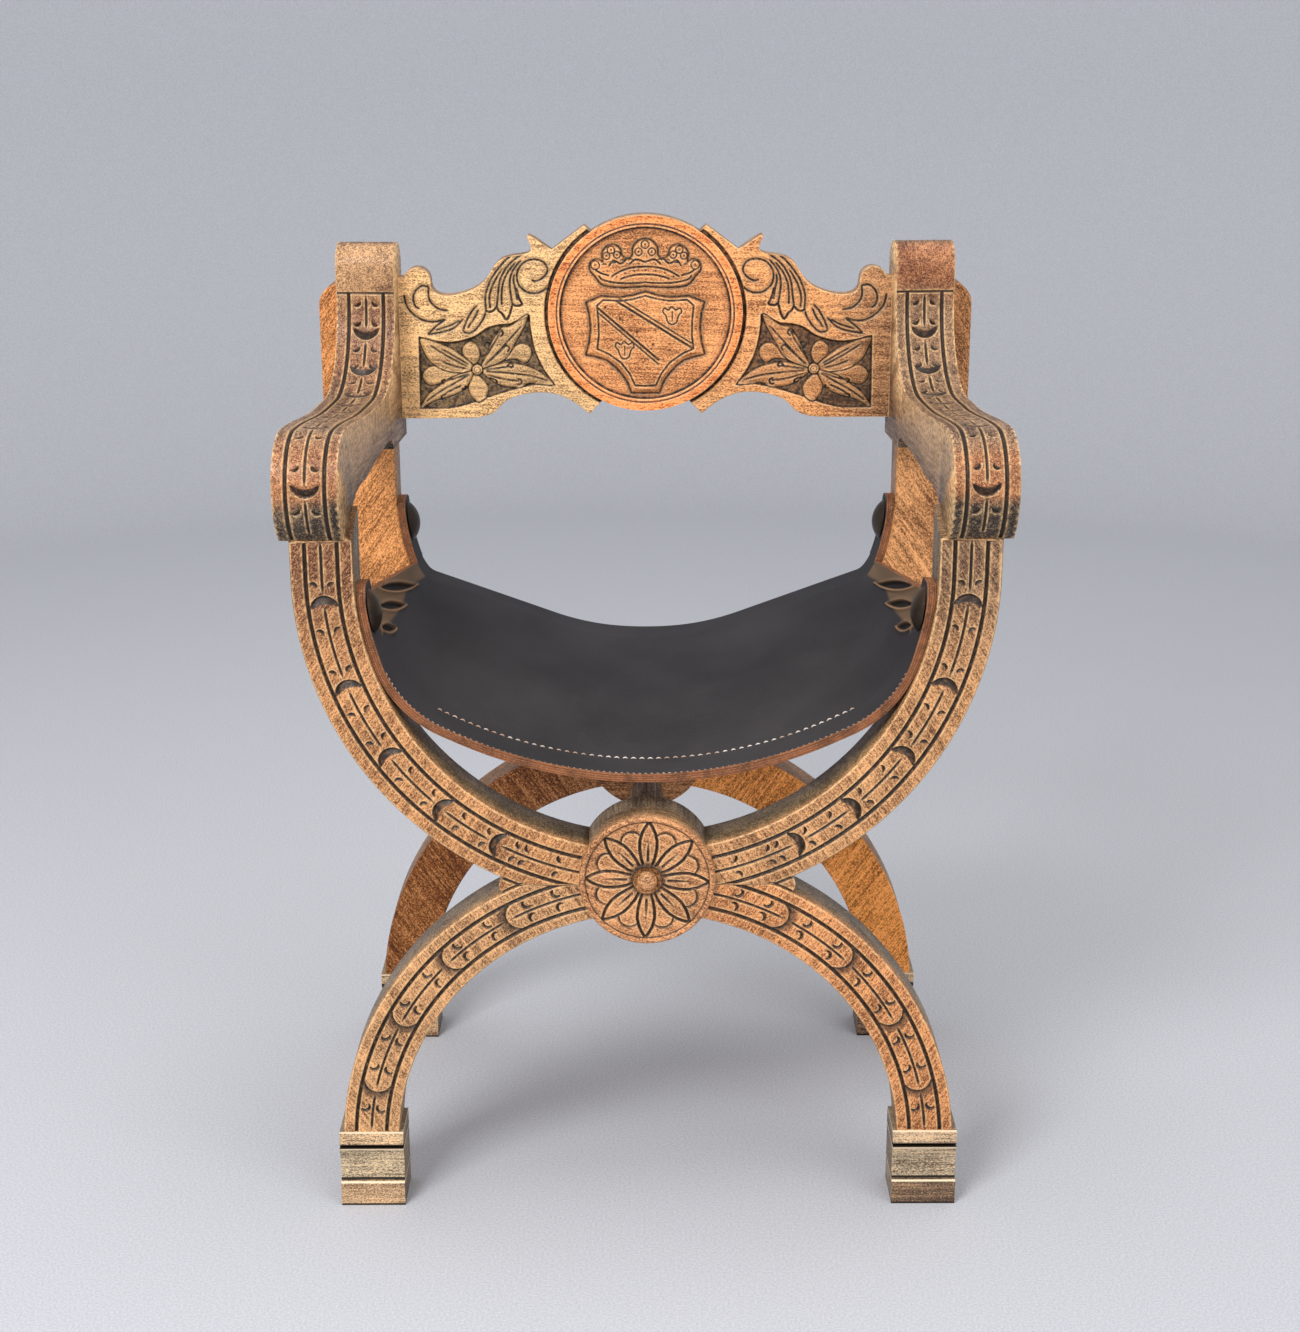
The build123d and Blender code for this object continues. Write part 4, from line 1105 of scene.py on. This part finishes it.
shield_edge = ((0, 21.2), (12, 17.6), (24, 15.6), (43.7, 16.7), (58.2, 10.6), (55.2, 0),
               (54, -14.6), (55.4, -28), (58.8, -40.8), (50.4, -42.4), (38.2, -46.2),
               (29.5, -53.2), (22.5, -61.2), (17.3, -69.2), (13.8, -78.9), (0, -79))
shield_field = ((0, 17.6), (12, 14.4), (24, 12.6), (41.5, 13.6), (47.6, 8), (46.2, -7),
                (46, -21.6), (47.6, -34.6), (36.4, -39.6), (24.2, -48.3), (15.7, -59.3),
                (10.4, -70.9), (0, -71.6))
lily = ((0.5, 9), (3.5, 5.6), (7.6, 7.6), (9.2, 3.6), (6.2, 0), (4.2, -6.4), (0, -8.6),
        (-4.2, -6.4), (-6.2, 0), (-9.2, 3.6), (-7.6, 7.6), (-3.5, 5.6))
crown_edge = ((0, 26.5), (22, 25.4), (41, 27.5), (49, 36), (54.5, 43), (53, 51), (46, 53),
              (41.5, 50.5), (42.5, 58.5), (38, 65), (31, 67.5), (24.5, 63.5), (22.5, 56.5),
              (17, 53.5), (12.6, 57), (12, 64.5), (6.5, 71), (0, 73))
crown_lines = (
    ((34, 36), (28, 39.5), (20, 43.3), (10, 45.5), (0, 46.2)),
    ((25, 33.5), (18.4, 36), (9, 38), (0, 38.6)),
    ((46, 38), (42, 33.5), (30, 30.6), (15, 29.8), (0, 30.6)),
    ((50, 44), (44, 40), (36, 37.5)),
    ((36, 46), (31, 52), (24, 49), (18, 53.5)),
    ((16, 48), (9, 53), (0, 50.5)),
)
crown_rings = ((33.5, 62.3, 3.6), (27.5, 57.5, 3.4), (38, 56.5, 3.4), (49, 47.5, 4.2),
               (0, 67.5, 3.8), (6.5, 60.5, 3.6))
crown_dots = ((28, 36.4), (19.5, 39.6), (10.4, 41.8), (0, 42.4))
crown_tufts = ((40, 47), (31, 48.5), (22, 51), (14, 51.5))
bend_dots = ((39.5, 6.3), (24.8, -5.1), (8.3, -18.2), (-7.4, -30.5), (-24, -36))
lily_places = ((20.5, -36), (-26.5, -2))
# Heights of the relief, and the depth of the panels' ground.
panel_depth = 3.4
leaf_height = 2.7
shield_height = 3.6
crown_height = 3.0


def on_board(knots, side):
    """Ornament points placed on one half of the board, in millimetres."""
    return np.asarray(knots, float) * (side, 1) + (0, medallion_height)


def carve_board(points):
    """Leaf panels, scrolling shoulders and horns at both sides of the medallion."""
    carving = Carving(points)
    for side in sides.values():
        curves = [flowing(on_board(panel[a:b], side)) for a, b in ((0, 7), (7, 12), (12, 17))]
        outline = np.vstack([*curves, on_board(panel[17:], side)])
        carving.sink(outline, panel_depth, 1.2, 0.85, 1.0)
        carving.groove(closed(outline), 2.2, 0.9)
        for leaf in (*round_petals, *long_leaves):
            knots = np.asarray(leaf, float)
            knots = knots.mean(axis=0) + (knots - knots.mean(axis=0)) * (1.03, 1.12)
            edge = flowing(on_board(knots, side), ring=True)
            carving.swell(edge, leaf_height, 3.4, 0.68)
            carving.groove(edge, 1.9, 0.9, dark=0.95)
        for vein in leaf_veins:
            carving.groove(flowing(on_board(vein, side)), 2.6, 1.5, (3.0, 3.0), 0.9)
        for curl in leaf_curls:
            carving.groove(flowing(on_board(curl, side)), 2.6, 1.8, (1.0, 1.0), 1.0)
        heart = on_board([flower], side)[0]
        carving.swell(circle(heart, 5.6, 32), 1.6, 2.5)
        carving.groove(circle(heart, 5.6, 32), 2.2, 1.6)
        carving.groove(circle(heart, 5.6 * 0.55, 32), 1.6, 0.7, dark=0.7)
        for line in (volute, *shoulder_lines, *horn_lines, *spray_lines):
            carving.leaf_line(flowing(on_board(line, side)))
        carving.groove(flowing(on_board(lobe_edge, side), 4), 3.0, 2.2)
    carving.groove(circle((0, medallion_height), medallion_radius + 1.9, 120), 5.0, 2.6, dark=0.95)
    return carving


def carve_ground(points):
    """Raised crown and shield on the medallion's sunk ground."""
    carving = Carving(points)
    edge, field, crown = (
        np.vstack([on_board(half, -1), on_board(half[::-1], 1)])
        for half in (shield_edge, shield_field, crown_edge)
    )
    radius = np.hypot(*(points - (0, medallion_height)).T)
    # The ground darkens towards the ring's wall: painted shadow inside the ring.
    carving.dark = 0.9 * rise(radius, 81.5, 84.3) + 0.25 * rise(radius, 74.0, 82.0)
    carving.dark = np.minimum(carving.dark, 0.95)
    # The wide soft band and the narrow dark contour around the shield are painted shadow of its
    # raised relief.
    carving.groove(closed(edge), 8.0, 1.2, dark=0.48)
    carving.groove(closed(edge), 3.4, 1.6, dark=0.95)
    carving.swell(edge, shield_height, 6.0)
    carving.groove(closed(field), 2.3, 1.5)
    crown = flowing(crown, 3, ring=True)
    # Around the crown too: painted shadow of its relief.
    carving.groove(crown, 6.0, 0.8, dark=0.48)
    carving.groove(crown, 2.6, 1.2, dark=0.95)
    carving.swell(crown, crown_height, 3.0)
    for side in sides.values():
        for line in crown_lines:
            carving.groove(flowing(on_board(line, side)), 2.4, 1.6, (1.5, 0.0), 1.0)
        for *spot, radius in crown_rings:
            spot = on_board(spot, side)
            carving.groove(circle(spot, radius, 20), 1.8, 1.1, dark=0.95)
            carving.pit(spot, 1.1, 0.8)
        for spot in on_board(crown_dots, side):
            carving.pit(spot, 1.1, 0.9)
        for spot in on_board(crown_tufts, side):
            carving.scoop(spot, 2.6, pi / 2, 1.4, 2.0, 0.8)
    for shift, width, dark in ((0, 2.8, 1.0), (4.4, 2.1, 0.9)):
        for line in (
            ((46.5, 5.5 - shift), (-13, -45.5 - shift)),
            ((28.5, 12.5 + shift), (-45.5, -33.5 + shift)),
        ):
            carving.groove(on_board(line, -1), width, 1.4, dark=dark)
    for spot in on_board(bend_dots, -1):
        carving.pit(spot, 1.5, 1.2)
    for place in lily_places:
        carving.groove(flowing(on_board(np.add(lily, place), -1), 3, ring=True), 1.9, 1.2)
        carving.groove(on_board(np.add(((0, -5), (0, 4)), place), -1), 1.6, 0.8)
    return carving


def carve_ring(points):
    """A fine dark line just outside the medallion's ground."""
    carving = Carving(points)
    carving.groove(circle((0, medallion_height), 87.6, 120), 2.0, 0.9, dark=0.9)
    return carving


class ARMCHAIR_OT_back_board(bpy.types.Operator):
    """Carves the ornament of the back board"""

    bl_idname = "armchair.back_board"
    bl_label = "Back Board"

    def execute(self, context):
        pitch = context.scene.armchair_wood.carving_pitch / mm
        carvers = {0: carve_board, ground_step: carve_ground, ring_step: carve_ring}
        faces = [
            (cad_front + (board_face - step) * mm, carve) for step, carve in carvers.items()
        ]
        piece = carved_node("back_board", faces, pitch)
        blends = [(0, -0.02, 0.10, (0.76, 0.34, 0.125)), (0, 0.16, 0.24, (0.40, 0.20, 0.09))]
        spots = [
            (0.0, medallion_height * mm, radius * mm, colour)
            for radius, colour in ((97.5, (0.90, 0.28, 0.075)), (84.0, (0.70, 0.295, 0.105)))
        ]
        dress(piece, wood(
            "wood_back_board", face_tones["back_board"], (0, radians(88), 0), side_shade_tones["board"],
            blends, spots, carved=True,
        ))
        return {"FINISHED"}


# ---- sling seat ------------------------------------------------------------------------------
ear_radius = 254.7
ear_top = acos(10 / ear_radius)        # angle of the ears' tops from straight down
ear_rows = 19
# Each end of the sling: rise of its middle over the ribs' lowest point, how far its middle's
# radius exceeds the ribs', slope of its straight part and radius of the turn into the ear.
sling_ends = {"front": (64.0, 145.0, radians(25), 110.0), "rear": (90.5, 45.0, radians(20), 35.0)}
front_cutback = 14.0       # from the front ears' tops down to the sheet's side edge
rear_reach = 5.5           # from the rear turns up to that edge
front_band = (5.0, 47.0)   # depths between which the sheet runs up into the ears
rear_band = (353.0, 395.0)
ear_corner = 13.0          # radius of the ears' corners
lining_rises = (0.0, 3.6)  # underside and top of each layer
leather_rises = (3.8, 8.0)
seam_depth = 47.0          # from the front frame's face to the front seam
seam_half_span = 196.0
edge_seam_half_span = 238.0
# Folds beside the front ears: depth and distance from the sheet's side edge at both ends, and
# half the width of the fold.
folds = (((84.0, 1.0), (293.0, 20.7), 4.6), ((66.0, 17.1), (206.0, 32.3), 4.4),
         ((49.0, 36.4), (118.0, 46.3), 4.4))
# Where the brown flesh side ends: depth and distance from the sheet's side edge.
flesh_line = ((47.0, 46.6), (59.0, 41.0), (113.0, 37.4), (150.0, 35.1), (205.0, 27.9),
              (238.0, 21.0), (288.0, 18.0), (343.0, 20.7), (353.0, 21.0))
# The cut edge of a layer, from its top to its underside: share of the way, bulge and painted shade.
cut_edge = ((0.2, 0.35, 0), (0.45, 0.3, 0), (0.52, -0.1, 0.8), (0.6, 0.3, 0), (0.85, 0.35, 0))


def down(angle):
    """The direction at an angle from straight down, towards the left."""
    return np.array([-sin(angle), -cos(angle)])


def sling_section(end, cut_short):
    """Underside points and inward headings of the sling's left half, middle to ear top.

    Cut short gives where the sheet's side edge lies, as an angle from straight down.
    """
    rise_up, excess, slope, turn = sling_ends[end]
    sweep = bowl_inner + excess
    heart = np.array([0, bowl_centre])
    sweep_heart = heart + (0, rise_up - bowl_inner + sweep)
    drop = (heart - sweep_heart) @ -down(slope) + sweep - turn
    leaves = slope + acos(drop / (ear_radius - turn))
    turn_heart = heart + down(leaves) * (ear_radius - turn)
    places, headings = [], []
    for angle in np.linspace(0, slope, 27):
        places.append(sweep_heart + down(angle) * sweep)
        headings.append(-down(angle))
    start, stop = places[-1], turn_heart + down(slope) * turn
    for share in np.linspace(0, 1, 9)[1:-1]:
        places.append(start + (stop - start) * share)
        headings.append(-down(slope))
    edge = cut_short(leaves)
    for centre, radius, first, last, count in (
        (turn_heart, turn, slope, leaves, 42),
        (heart, ear_radius, leaves, edge, 32),
        (heart, ear_radius, edge, ear_top, 20),
    ):
        for angle in np.linspace(first, last, count)[(0 if radius == turn else 1):]:
            places.append(centre + down(angle) * radius)
            headings.append(-down(angle))
    return np.array(places), np.array(headings)


class Sling:
    """The seat's curved surface: stations from its middle to the ears, rows from front to rear."""

    def __init__(self):
        front_half = sling_section("front", lambda leaves: ear_top - front_cutback / ear_radius)
        rear_half = sling_section("rear", lambda leaves: leaves + rear_reach / ear_radius)
        self.halves = front_half, rear_half
        self.last = len(front_half[0]) - 1
        self.edge = self.last - ear_rows
        self.depths = np.concatenate(
            [np.linspace(*front_band, 15), np.linspace(front_band[1], rear_band[0], 104)[1:-1],
             np.linspace(*rear_band, 15)]
        )

    def place(self, depth, station, side, rise_up):
        """A point in millimetres across, in depth and in height; stations may lie between."""
        low = min(int(station), self.last - 1)
        part = station - low
        share = np.clip((depth - front_band[1]) / (rear_band[0] - front_band[1]), 0, 1)
        mixed = []
        for values in zip(*self.halves):
            front_value, rear_value = (
                value[low] * (1 - part) + value[low + 1] * part for value in values
            )
            mixed.append(front_value * (1 - share) + rear_value * share)
        place, heading = mixed
        place = place + heading / np.hypot(*heading) * rise_up
        return np.array([-side * place[0], depth, place[1]])

    def in_band(self, depth):
        """Whether the row at a depth runs up into the ears."""
        return depth <= front_band[1] + 0.01 or depth >= rear_band[0] - 0.01

    def end(self, depth):
        """The last station of the row at a depth."""
        return self.last if self.in_band(depth) else self.edge

    def runs(self, depth):
        """Distance of each station from the middle, along the section at a depth."""
        places = np.array([self.place(depth, station, 1, 0) for station in range(self.last + 1)])
        return np.concatenate([[0], np.cumsum(np.sqrt((np.diff(places, axis=0) ** 2).sum(axis=1)))])

    def rounded(self, depth, to_top):
        """Depth of an ear's point, drawn in towards its middle at the rounded corners."""
        band = front_band if depth < 200 else rear_band
        middle, half = (band[0] + band[1]) / 2, (band[1] - band[0]) / 2
        if to_top >= ear_corner:
            return depth
        reach = half - ear_corner + sqrt(max(ear_corner**2 - (ear_corner - to_top) ** 2, 0))
        return middle + (depth - middle) * reach / half


def fold_shape(depth, inset):
    """Height, painted hollow shade, pale lip (tan fibres with a painted highlight) and brown share
    of the top leather beside its side edge.
    """
    height = hollow = lip = 0.0
    limit = np.interp(depth, *zip(*flesh_line))
    brown = float(1 - rise(inset, limit - 3.0, limit + 1.5))
    brown *= front_band[1] < depth < rear_band[0]
    point = np.array([depth, inset])
    for start, stop, half in folds:
        start, stop = np.array(start), np.array(stop)
        step = stop - start
        share = (point - start) @ step / (step @ step)
        if -0.05 < share < 1.05:
            offset = (point - start)[1] - share * step[1]
            reach = half * max(1 - (2 * share - 1) ** 2, 0.0)
            away = abs(offset) - reach
            hollow = max(hollow, float(1 - rise(away, -1.6, 0.2)))
            # The lip is paler on one side of the fold: painted highlight.
            paleness = 1.0 if offset > 0 else 0.35
            lip = max(lip, float(1 - rise(abs(away - 0.5), 0.1, 1.1)) * paleness)
            height += 1.6 * float(1 - rise(abs(away - 0.6), 0.0, 3.0))
            height -= 2.4 * float(1 - rise(away, -2.6, 0.4))
            if away < 1.0:
                brown = max(brown, 0.6)
    return height, hollow, lip, brown


def sling_sheet(name, sling, rises, folded):
    """One closed leather layer between two rises above the sling's underside."""
    mesh = bmesh.new()
    layers = {key: mesh.verts.layers.float.new(key) for key in ("flesh", "hollow", "lip")}
    low, high = rises
    tops, unders = {}, {}
    for row, depth in enumerate(sling.depths):
        runs = sling.runs(depth)
        for station in range(sling.end(depth) + 1):
            to_top = runs[sling.last] - runs[station]
            at = sling.rounded(depth, to_top) if sling.in_band(depth) else depth
            lift, hollow, lip, brown = 0.0, 0.0, 0.0, 0.0
            inset = runs[sling.edge] - runs[station]
            if folded and -1 < inset < 60:
                lift, hollow, lip, brown = fold_shape(depth, inset)
            if folded:
                lift += 0.5 * sin(depth / 47 + station / 9) * sin(station / 13 - depth / 80)
            for side in sides.values() if station else (1,):
                key = (row, station * side)
                for found, up in ((tops, high + lift), (unders, low)):
                    x, y, z = sling.place(at, station, -side, up)
                    found[key] = mesh.verts.new((x * mm, cad_front + y * mm, z * mm))
                tops[key][layers["hollow"]] = hollow
                tops[key][layers["lip"]] = lip
                tops[key][layers["flesh"]] = brown
    for row in range(len(sling.depths) - 1):
        for station in range(-sling.last, sling.last):
            keys = [(row, station), (row, station + 1), (row + 1, station + 1), (row + 1, station)]
            if all(key in tops for key in keys):
                mesh.faces.new([tops[key] for key in keys])
                mesh.faces.new([unders[key] for key in reversed(keys)])
    under_of = {tops[key]: unders[key] for key in tops}
    border = [
        edge for edge in mesh.edges if len(edge.link_faces) == 1 and edge.verts[0] in under_of
    ]
    middles = {}
    for edge in border:
        for vertex in edge.verts:
            if vertex not in middles:
                under = under_of[vertex]
                inward = sum((face.calc_center_median() for face in vertex.link_faces), Vector())
                inward = inward / len(vertex.link_faces) - vertex.co
                through = (under.co - vertex.co).normalized()
                outward = -(inward - through * inward.dot(through)).normalized()
                middles[vertex] = []
                for share, bulge, dark in cut_edge:
                    place = vertex.co.lerp(under.co, share) + outward * bulge * mm
                    made = mesh.verts.new(place)
                    made[layers["hollow"]] = dark
                    middles[vertex].append(made)
    for edge in border:
        first, second = edge.verts
        chains = [[vertex, *middles[vertex], under_of[vertex]] for vertex in (first, second)]
        for rank in range(len(chains[0]) - 1):
            face = mesh.faces.new(
                (chains[0][rank], chains[0][rank + 1], chains[1][rank + 1], chains[1][rank])
            )
            face.material_index = 1
    bmesh.ops.recalc_face_normals(mesh, faces=mesh.faces)
    return finished(mesh, name, 50)


def thread_run(mesh, places, normals, radius):
    """One stitch: a short round thread that dips into the leather at both ends."""
    rings = []
    count = len(places)
    for number, (place, normal) in enumerate(zip(places, normals)):
        share = number / (count - 1)
        ahead = (places[min(number + 1, count - 1)] - places[max(number - 1, 0)]).normalized()
        across = ahead.cross(normal).normalized()
        swell = radius * (0.35 + 0.65 * sin(pi * share) ** 0.5)
        centre = place + normal * (radius * (1.5 * sin(pi * share) - 0.7))
        rings.append(
            [
                mesh.verts.new(centre + (across * cos(turn) + normal * sin(turn)) * swell)
                for turn in np.linspace(0, tau, 7)[:-1]
            ]
        )
    for one, other in zip(rings, rings[1:]):
        for corners in zip(one, one[1:] + one[:1], other[1:] + other[:1], other):
            mesh.faces.new(corners)
    mesh.faces.new(list(reversed(rings[0])))
    mesh.faces.new(rings[-1])


def seam(sling, name, depth_of, span, length, pitch, rise_up, radius, soiled):
    """A row of stitches across the sling, from side to side."""
    mesh = bmesh.new()
    middle_depth = depth_of(0.5)
    runs = sling.runs(middle_depth)
    xs = np.array([abs(sling.place(middle_depth, k, 1, 0)[0]) for k in range(sling.edge + 1)])
    reach = np.interp(span, xs, runs[: sling.edge + 1])

    def at(run, share):
        side = 1 if run >= 0 else -1
        station = np.interp(abs(run), runs, np.arange(len(runs)))
        place = sling.place(depth_of(share), station, -side, rise_up)
        above = sling.place(depth_of(share), station, -side, rise_up + 1)
        x, y, z = place * mm
        return Vector((x, cad_front + y, z)), Vector((above - place).tolist()).normalized()

    count = int(2 * reach * mm / pitch)
    for number in range(count):
        start = -reach + (number + 0.5) * pitch / mm
        spots = [at(start + length / mm * share, share) for share in np.linspace(0, 1, 6)]
        thread_run(mesh, *zip(*spots), radius)
    bmesh.ops.recalc_face_normals(mesh, faces=mesh.faces)
    piece = finished(mesh, name, 80)
    dress(piece, waxed_thread(f"{name}_thread", soiled))
    return piece


class ARMCHAIR_OT_seat(bpy.types.Operator):
    """Hangs the stitched leather sling and its brown lining"""

    bl_idname = "armchair.seat"
    bl_label = "Leather Seat"

    def execute(self, context):
        finish = context.scene.armchair_leather
        sling = Sling()
        top = sling_sheet("black_leather_sling", sling, leather_rises, True)
        lining = sling_sheet("brown_leather_lining", sling, lining_rises, False)
        for piece, node, faces in (
            (top, "seat_leather", leather("black_grain_leather", finish.black, 0.66)),
            (lining, "seat_lining", cut_leather("lining_flesh_side", finish.brown)),
        ):
            piece.data.materials.append(faces)
            piece.data.materials.append(cut_leather(f"{piece.name}_cut_edge", finish.brown))
            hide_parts(node)
        seams = [
            seam(sling, "front_seam", lambda share: seam_depth, seam_half_span,
                 finish.stitch_length, finish.stitch_pitch, leather_rises[1] + 0.1,
                 finish.thread_radius, (0.45, 0.6)),
            seam(sling, "edge_seam", lambda share: front_band[0] + 0.4 + 1.6 * share,
                 edge_seam_half_span, finish.stitch_length * 0.6, finish.stitch_pitch * 0.7,
                 leather_rises[1] - 0.1, finish.thread_radius * 0.6, (0.2, 0.4)),
        ]
        for piece in (top, lining):
            across = 2 * max(sling.runs(depth)[sling.end(depth)] for depth in sling.depths) * mm
        return {"FINISHED"}


# ---- plain pieces ----------------------------------------------------------------------------
class ARMCHAIR_OT_plain_wood(bpy.types.Operator):
    """Finishes the plain wooden pieces and the fixings"""

    bl_idname = "armchair.plain_wood"
    bl_label = "Plain Wood and Fixings"

    def execute(self, context):
        across = (0, radians(90), 0)
        # The fourth argument of each wood() is the side colour: painted shade and grazing
        # reflection of faces turned away from the front.
        for node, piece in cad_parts.items():
            left = "left" in node
            if node.endswith(("rib", "leg")):
                lean = grain_lean * (1 if left == node.endswith("leg") else -1)
                upper = (0.64, 0.265, 0.078) if left else (0.51, 0.233, 0.085)
                tone = (0.24, 0.072, 0.007) if left else (0.76, 0.28, 0.046)
                tone = (0.29, 0.105, 0.022) if node.endswith("rib") else tone
                material = wood(
                    f"wood_{node}", tone, (0, lean, 0), (0.25, 0.115, 0.04),
                    [(2, 0.46, 0.56, upper)],
                )
            elif node.endswith("foot"):
                lip, cove, plinth = (0.55, 0.39, 0.23), (0.54, 0.44, 0.29), (0.60, 0.40, 0.23)
                if not left:
                    lip, cove, plinth = (0.46, 0.34, 0.22), (0.46, 0.37, 0.25), (0.16, 0.10, 0.062)
                blends = [(2, 0.0615, 0.0605, cove), (2, 0.0255, 0.0245, plinth)]
                # Thin level lines on the feet: dark ones are painted shadow under the mouldings and
                # at the floor, light ones painted highlights on their edges.
                dark, light = (0.02, 0.013, 0.008), (0.9, 0.72, 0.48)
                shadow_and_highlight_lines = [
                    (0.0615, 0.0023, dark), (0.0582, 0.0008, light), (0.0262, 0.0011, dark),
                    (0.0236, 0.0008, light), (0.0742, 0.0007, light), (0.001, 0.001, dark),
                ]
                material = wood(
                    f"wood_{node}", lip, across, (0.17, 0.13, 0.085), blends, (), shadow_and_highlight_lines
                )
            elif node == "rear_hub":
                material = wood(f"wood_{node}", (0.27, 0.10, 0.026), across, (0.2, 0.1, 0.04))
            elif node.endswith(("hub", "stretcher")):
                material = wood(
                    f"wood_{node}", (0.26, 0.2, 0.135), (radians(90), 0, 0), (0.17, 0.135, 0.09)
                )
            elif node.endswith(("rosette", "button", "armrest", "board")):
                material = wood(f"wood_{node}", (0.50, 0.25, 0.11), across, (0.30, 0.17, 0.08))
            elif node.endswith("dowels"):
                material = wood(f"wood_{node}", (0.55, 0.36, 0.18), across, (0.5, 0.33, 0.17))
            elif node.endswith(("screw", "screws")):
                material = metal(f"metal_{node}", (0.35, 0.34, 0.33), 0.35)
            elif node.endswith("stud"):
                material = metal(f"metal_{node}", (0.05, 0.035, 0.025), 0.35)
            else:
                continue       # the two layers of the seat get theirs with the sling
            dress(piece, material)
        return {"FINISHED"}


# ---- stage -----------------------------------------------------------------------------------
# Lamps: place in metres, width and power. All look at one point.
lamps = {
    "key_lamp": ((-1.6, -2.6, 2.7), 1.4, 92),
    "fill_lamp": ((1.9, -2.2, 2.0), 2.2, 26),
    "top_lamp": ((0, 0.1, 3.0), 2.4, 34),
}
lamp_target = Vector((0, 0, 0.4))
room_light = 0.42
camera_place = (0, -2.0938, 1.1061)
camera_tilt = radians(16.85)           # down from level
camera_roll = 0.0033
frame_size, focal_pixels, centre_shift = 1332, 2250, 3.5


class ARMCHAIR_OT_stage(bpy.types.Operator):
    """Lays the paper sweep, sets the lamps and places the camera"""

    bl_idname = "armchair.stage"
    bl_label = "Stage"

    def execute(self, context):
        finish = context.scene.armchair_stage
        scene = context.scene
        mesh = bmesh.new()
        profile = [(share * finish.floor_reach, 0.0) for share in (0.25, 0.5, 0.75, 1.0)]
        for angle in np.linspace(0, pi / 2, 17)[1:]:
            profile.append(
                (finish.floor_reach + finish.cove * sin(angle), finish.cove * (1 - cos(angle)))
            )
        profile.append((finish.floor_reach + finish.cove, finish.wall_height))
        turns = np.linspace(0, tau, 96, endpoint=False)
        rows = [
            [mesh.verts.new((reach * cos(turn), reach * sin(turn), height)) for turn in turns]
            for reach, height in profile
        ]
        heart = mesh.verts.new((0, 0, 0))
        for first, second in zip(rows[0], rows[0][1:] + rows[0][:1]):
            mesh.faces.new((heart, first, second))
        for low, high in zip(rows, rows[1:]):
            for corners in zip(high, high[1:] + high[:1], low[1:] + low[:1], low):
                mesh.faces.new(corners)
        data = bpy.data.meshes.new("paper_floor")
        mesh.to_mesh(data)
        mesh.free()
        data.polygons.foreach_set("use_smooth", [True] * len(data.polygons))
        sweep = bpy.data.objects.new("paper_floor", data)
        scene.collection.objects.link(sweep)
        shader = Shader("pale_paper")
        speckle = shader.noise(shader.place(), 420.0, 3.0, 0.7)
        colour = shader.mix(speckle.between(0.35, 0.65), tinted(finish.floor, 0.82), finish.floor)
        dress(sweep, shader.coat(colour, 0.95, 0.1))

        scene.world = bpy.data.worlds.new("soft_room")
        scene.world.use_nodes = True
        background = scene.world.node_tree.nodes["Background"]
        background.inputs["Color"].default_value = (1, 1, 1, 1)
        background.inputs["Strength"].default_value = room_light
        for name, (place, size, power) in lamps.items():
            light = bpy.data.lights.new(name, "AREA")
            light.size = size
            light.energy = power
            lamp = bpy.data.objects.new(name, light)
            lamp.location = place
            heading = lamp_target - Vector(place)
            lamp.rotation_euler = heading.to_track_quat("-Z", "Y").to_euler()
            scene.collection.objects.link(lamp)

        view = bpy.data.cameras.new("camera")
        view.sensor_width = 36.0
        view.lens = focal_pixels / frame_size * view.sensor_width
        view.shift_x = centre_shift / frame_size
        camera = bpy.data.objects.new("camera", view)
        camera.matrix_world = (
            Matrix.Translation(camera_place)
            @ Matrix.Rotation(pi / 2 - camera_tilt, 4, "X")
            @ Matrix.Rotation(-camera_roll, 4, "Z")
        )
        scene.collection.objects.link(camera)
        scene.camera = camera
        scene.view_settings.view_transform = "Standard"
        return {"FINISHED"}


class ARMCHAIR_PT_panel(bpy.types.Panel):
    """Lists the armchair's steps and finishes"""

    bl_label = "Armchair"
    bl_space_type = "VIEW_3D"
    bl_region_type = "UI"
    bl_category = "Armchair"

    def draw(self, context):
        for group in ("armchair_wood", "armchair_leather", "armchair_stage"):
            choices = getattr(context.scene, group)
            for name in choices.__annotations__:
                self.layout.prop(choices, name)
        for step in steps:
            self.layout.operator(step.bl_idname)


groups = {
    "armchair_wood": WoodFinish,
    "armchair_leather": LeatherFinish,
    "armchair_stage": StageFinish,
}
steps = (
    ARMCHAIR_OT_plain_wood,
    ARMCHAIR_OT_front_frame,
    ARMCHAIR_OT_armrests,
    ARMCHAIR_OT_rosette,
    ARMCHAIR_OT_back_board,
    ARMCHAIR_OT_seat,
    ARMCHAIR_OT_stage,
)


def register():
    """Adds the armchair's steps, finishes and panel."""
    for kind in (*groups.values(), *steps, ARMCHAIR_PT_panel):
        bpy.utils.register_class(kind)
    for name, kind in groups.items():
        setattr(bpy.types.Scene, name, PointerProperty(type=kind))


def unregister():
    """Takes them away again."""
    for name in groups:
        delattr(bpy.types.Scene, name)
    for kind in (ARMCHAIR_PT_panel, *reversed(steps), *reversed(groups.values())):
        bpy.utils.unregister_class(kind)


def main():
    """Dresses the armchair from start to end."""
    register()
    for step in steps:
        area, name = step.bl_idname.split(".")
        getattr(getattr(bpy.ops, area), name)()


if __name__ == "__main__":
    main()
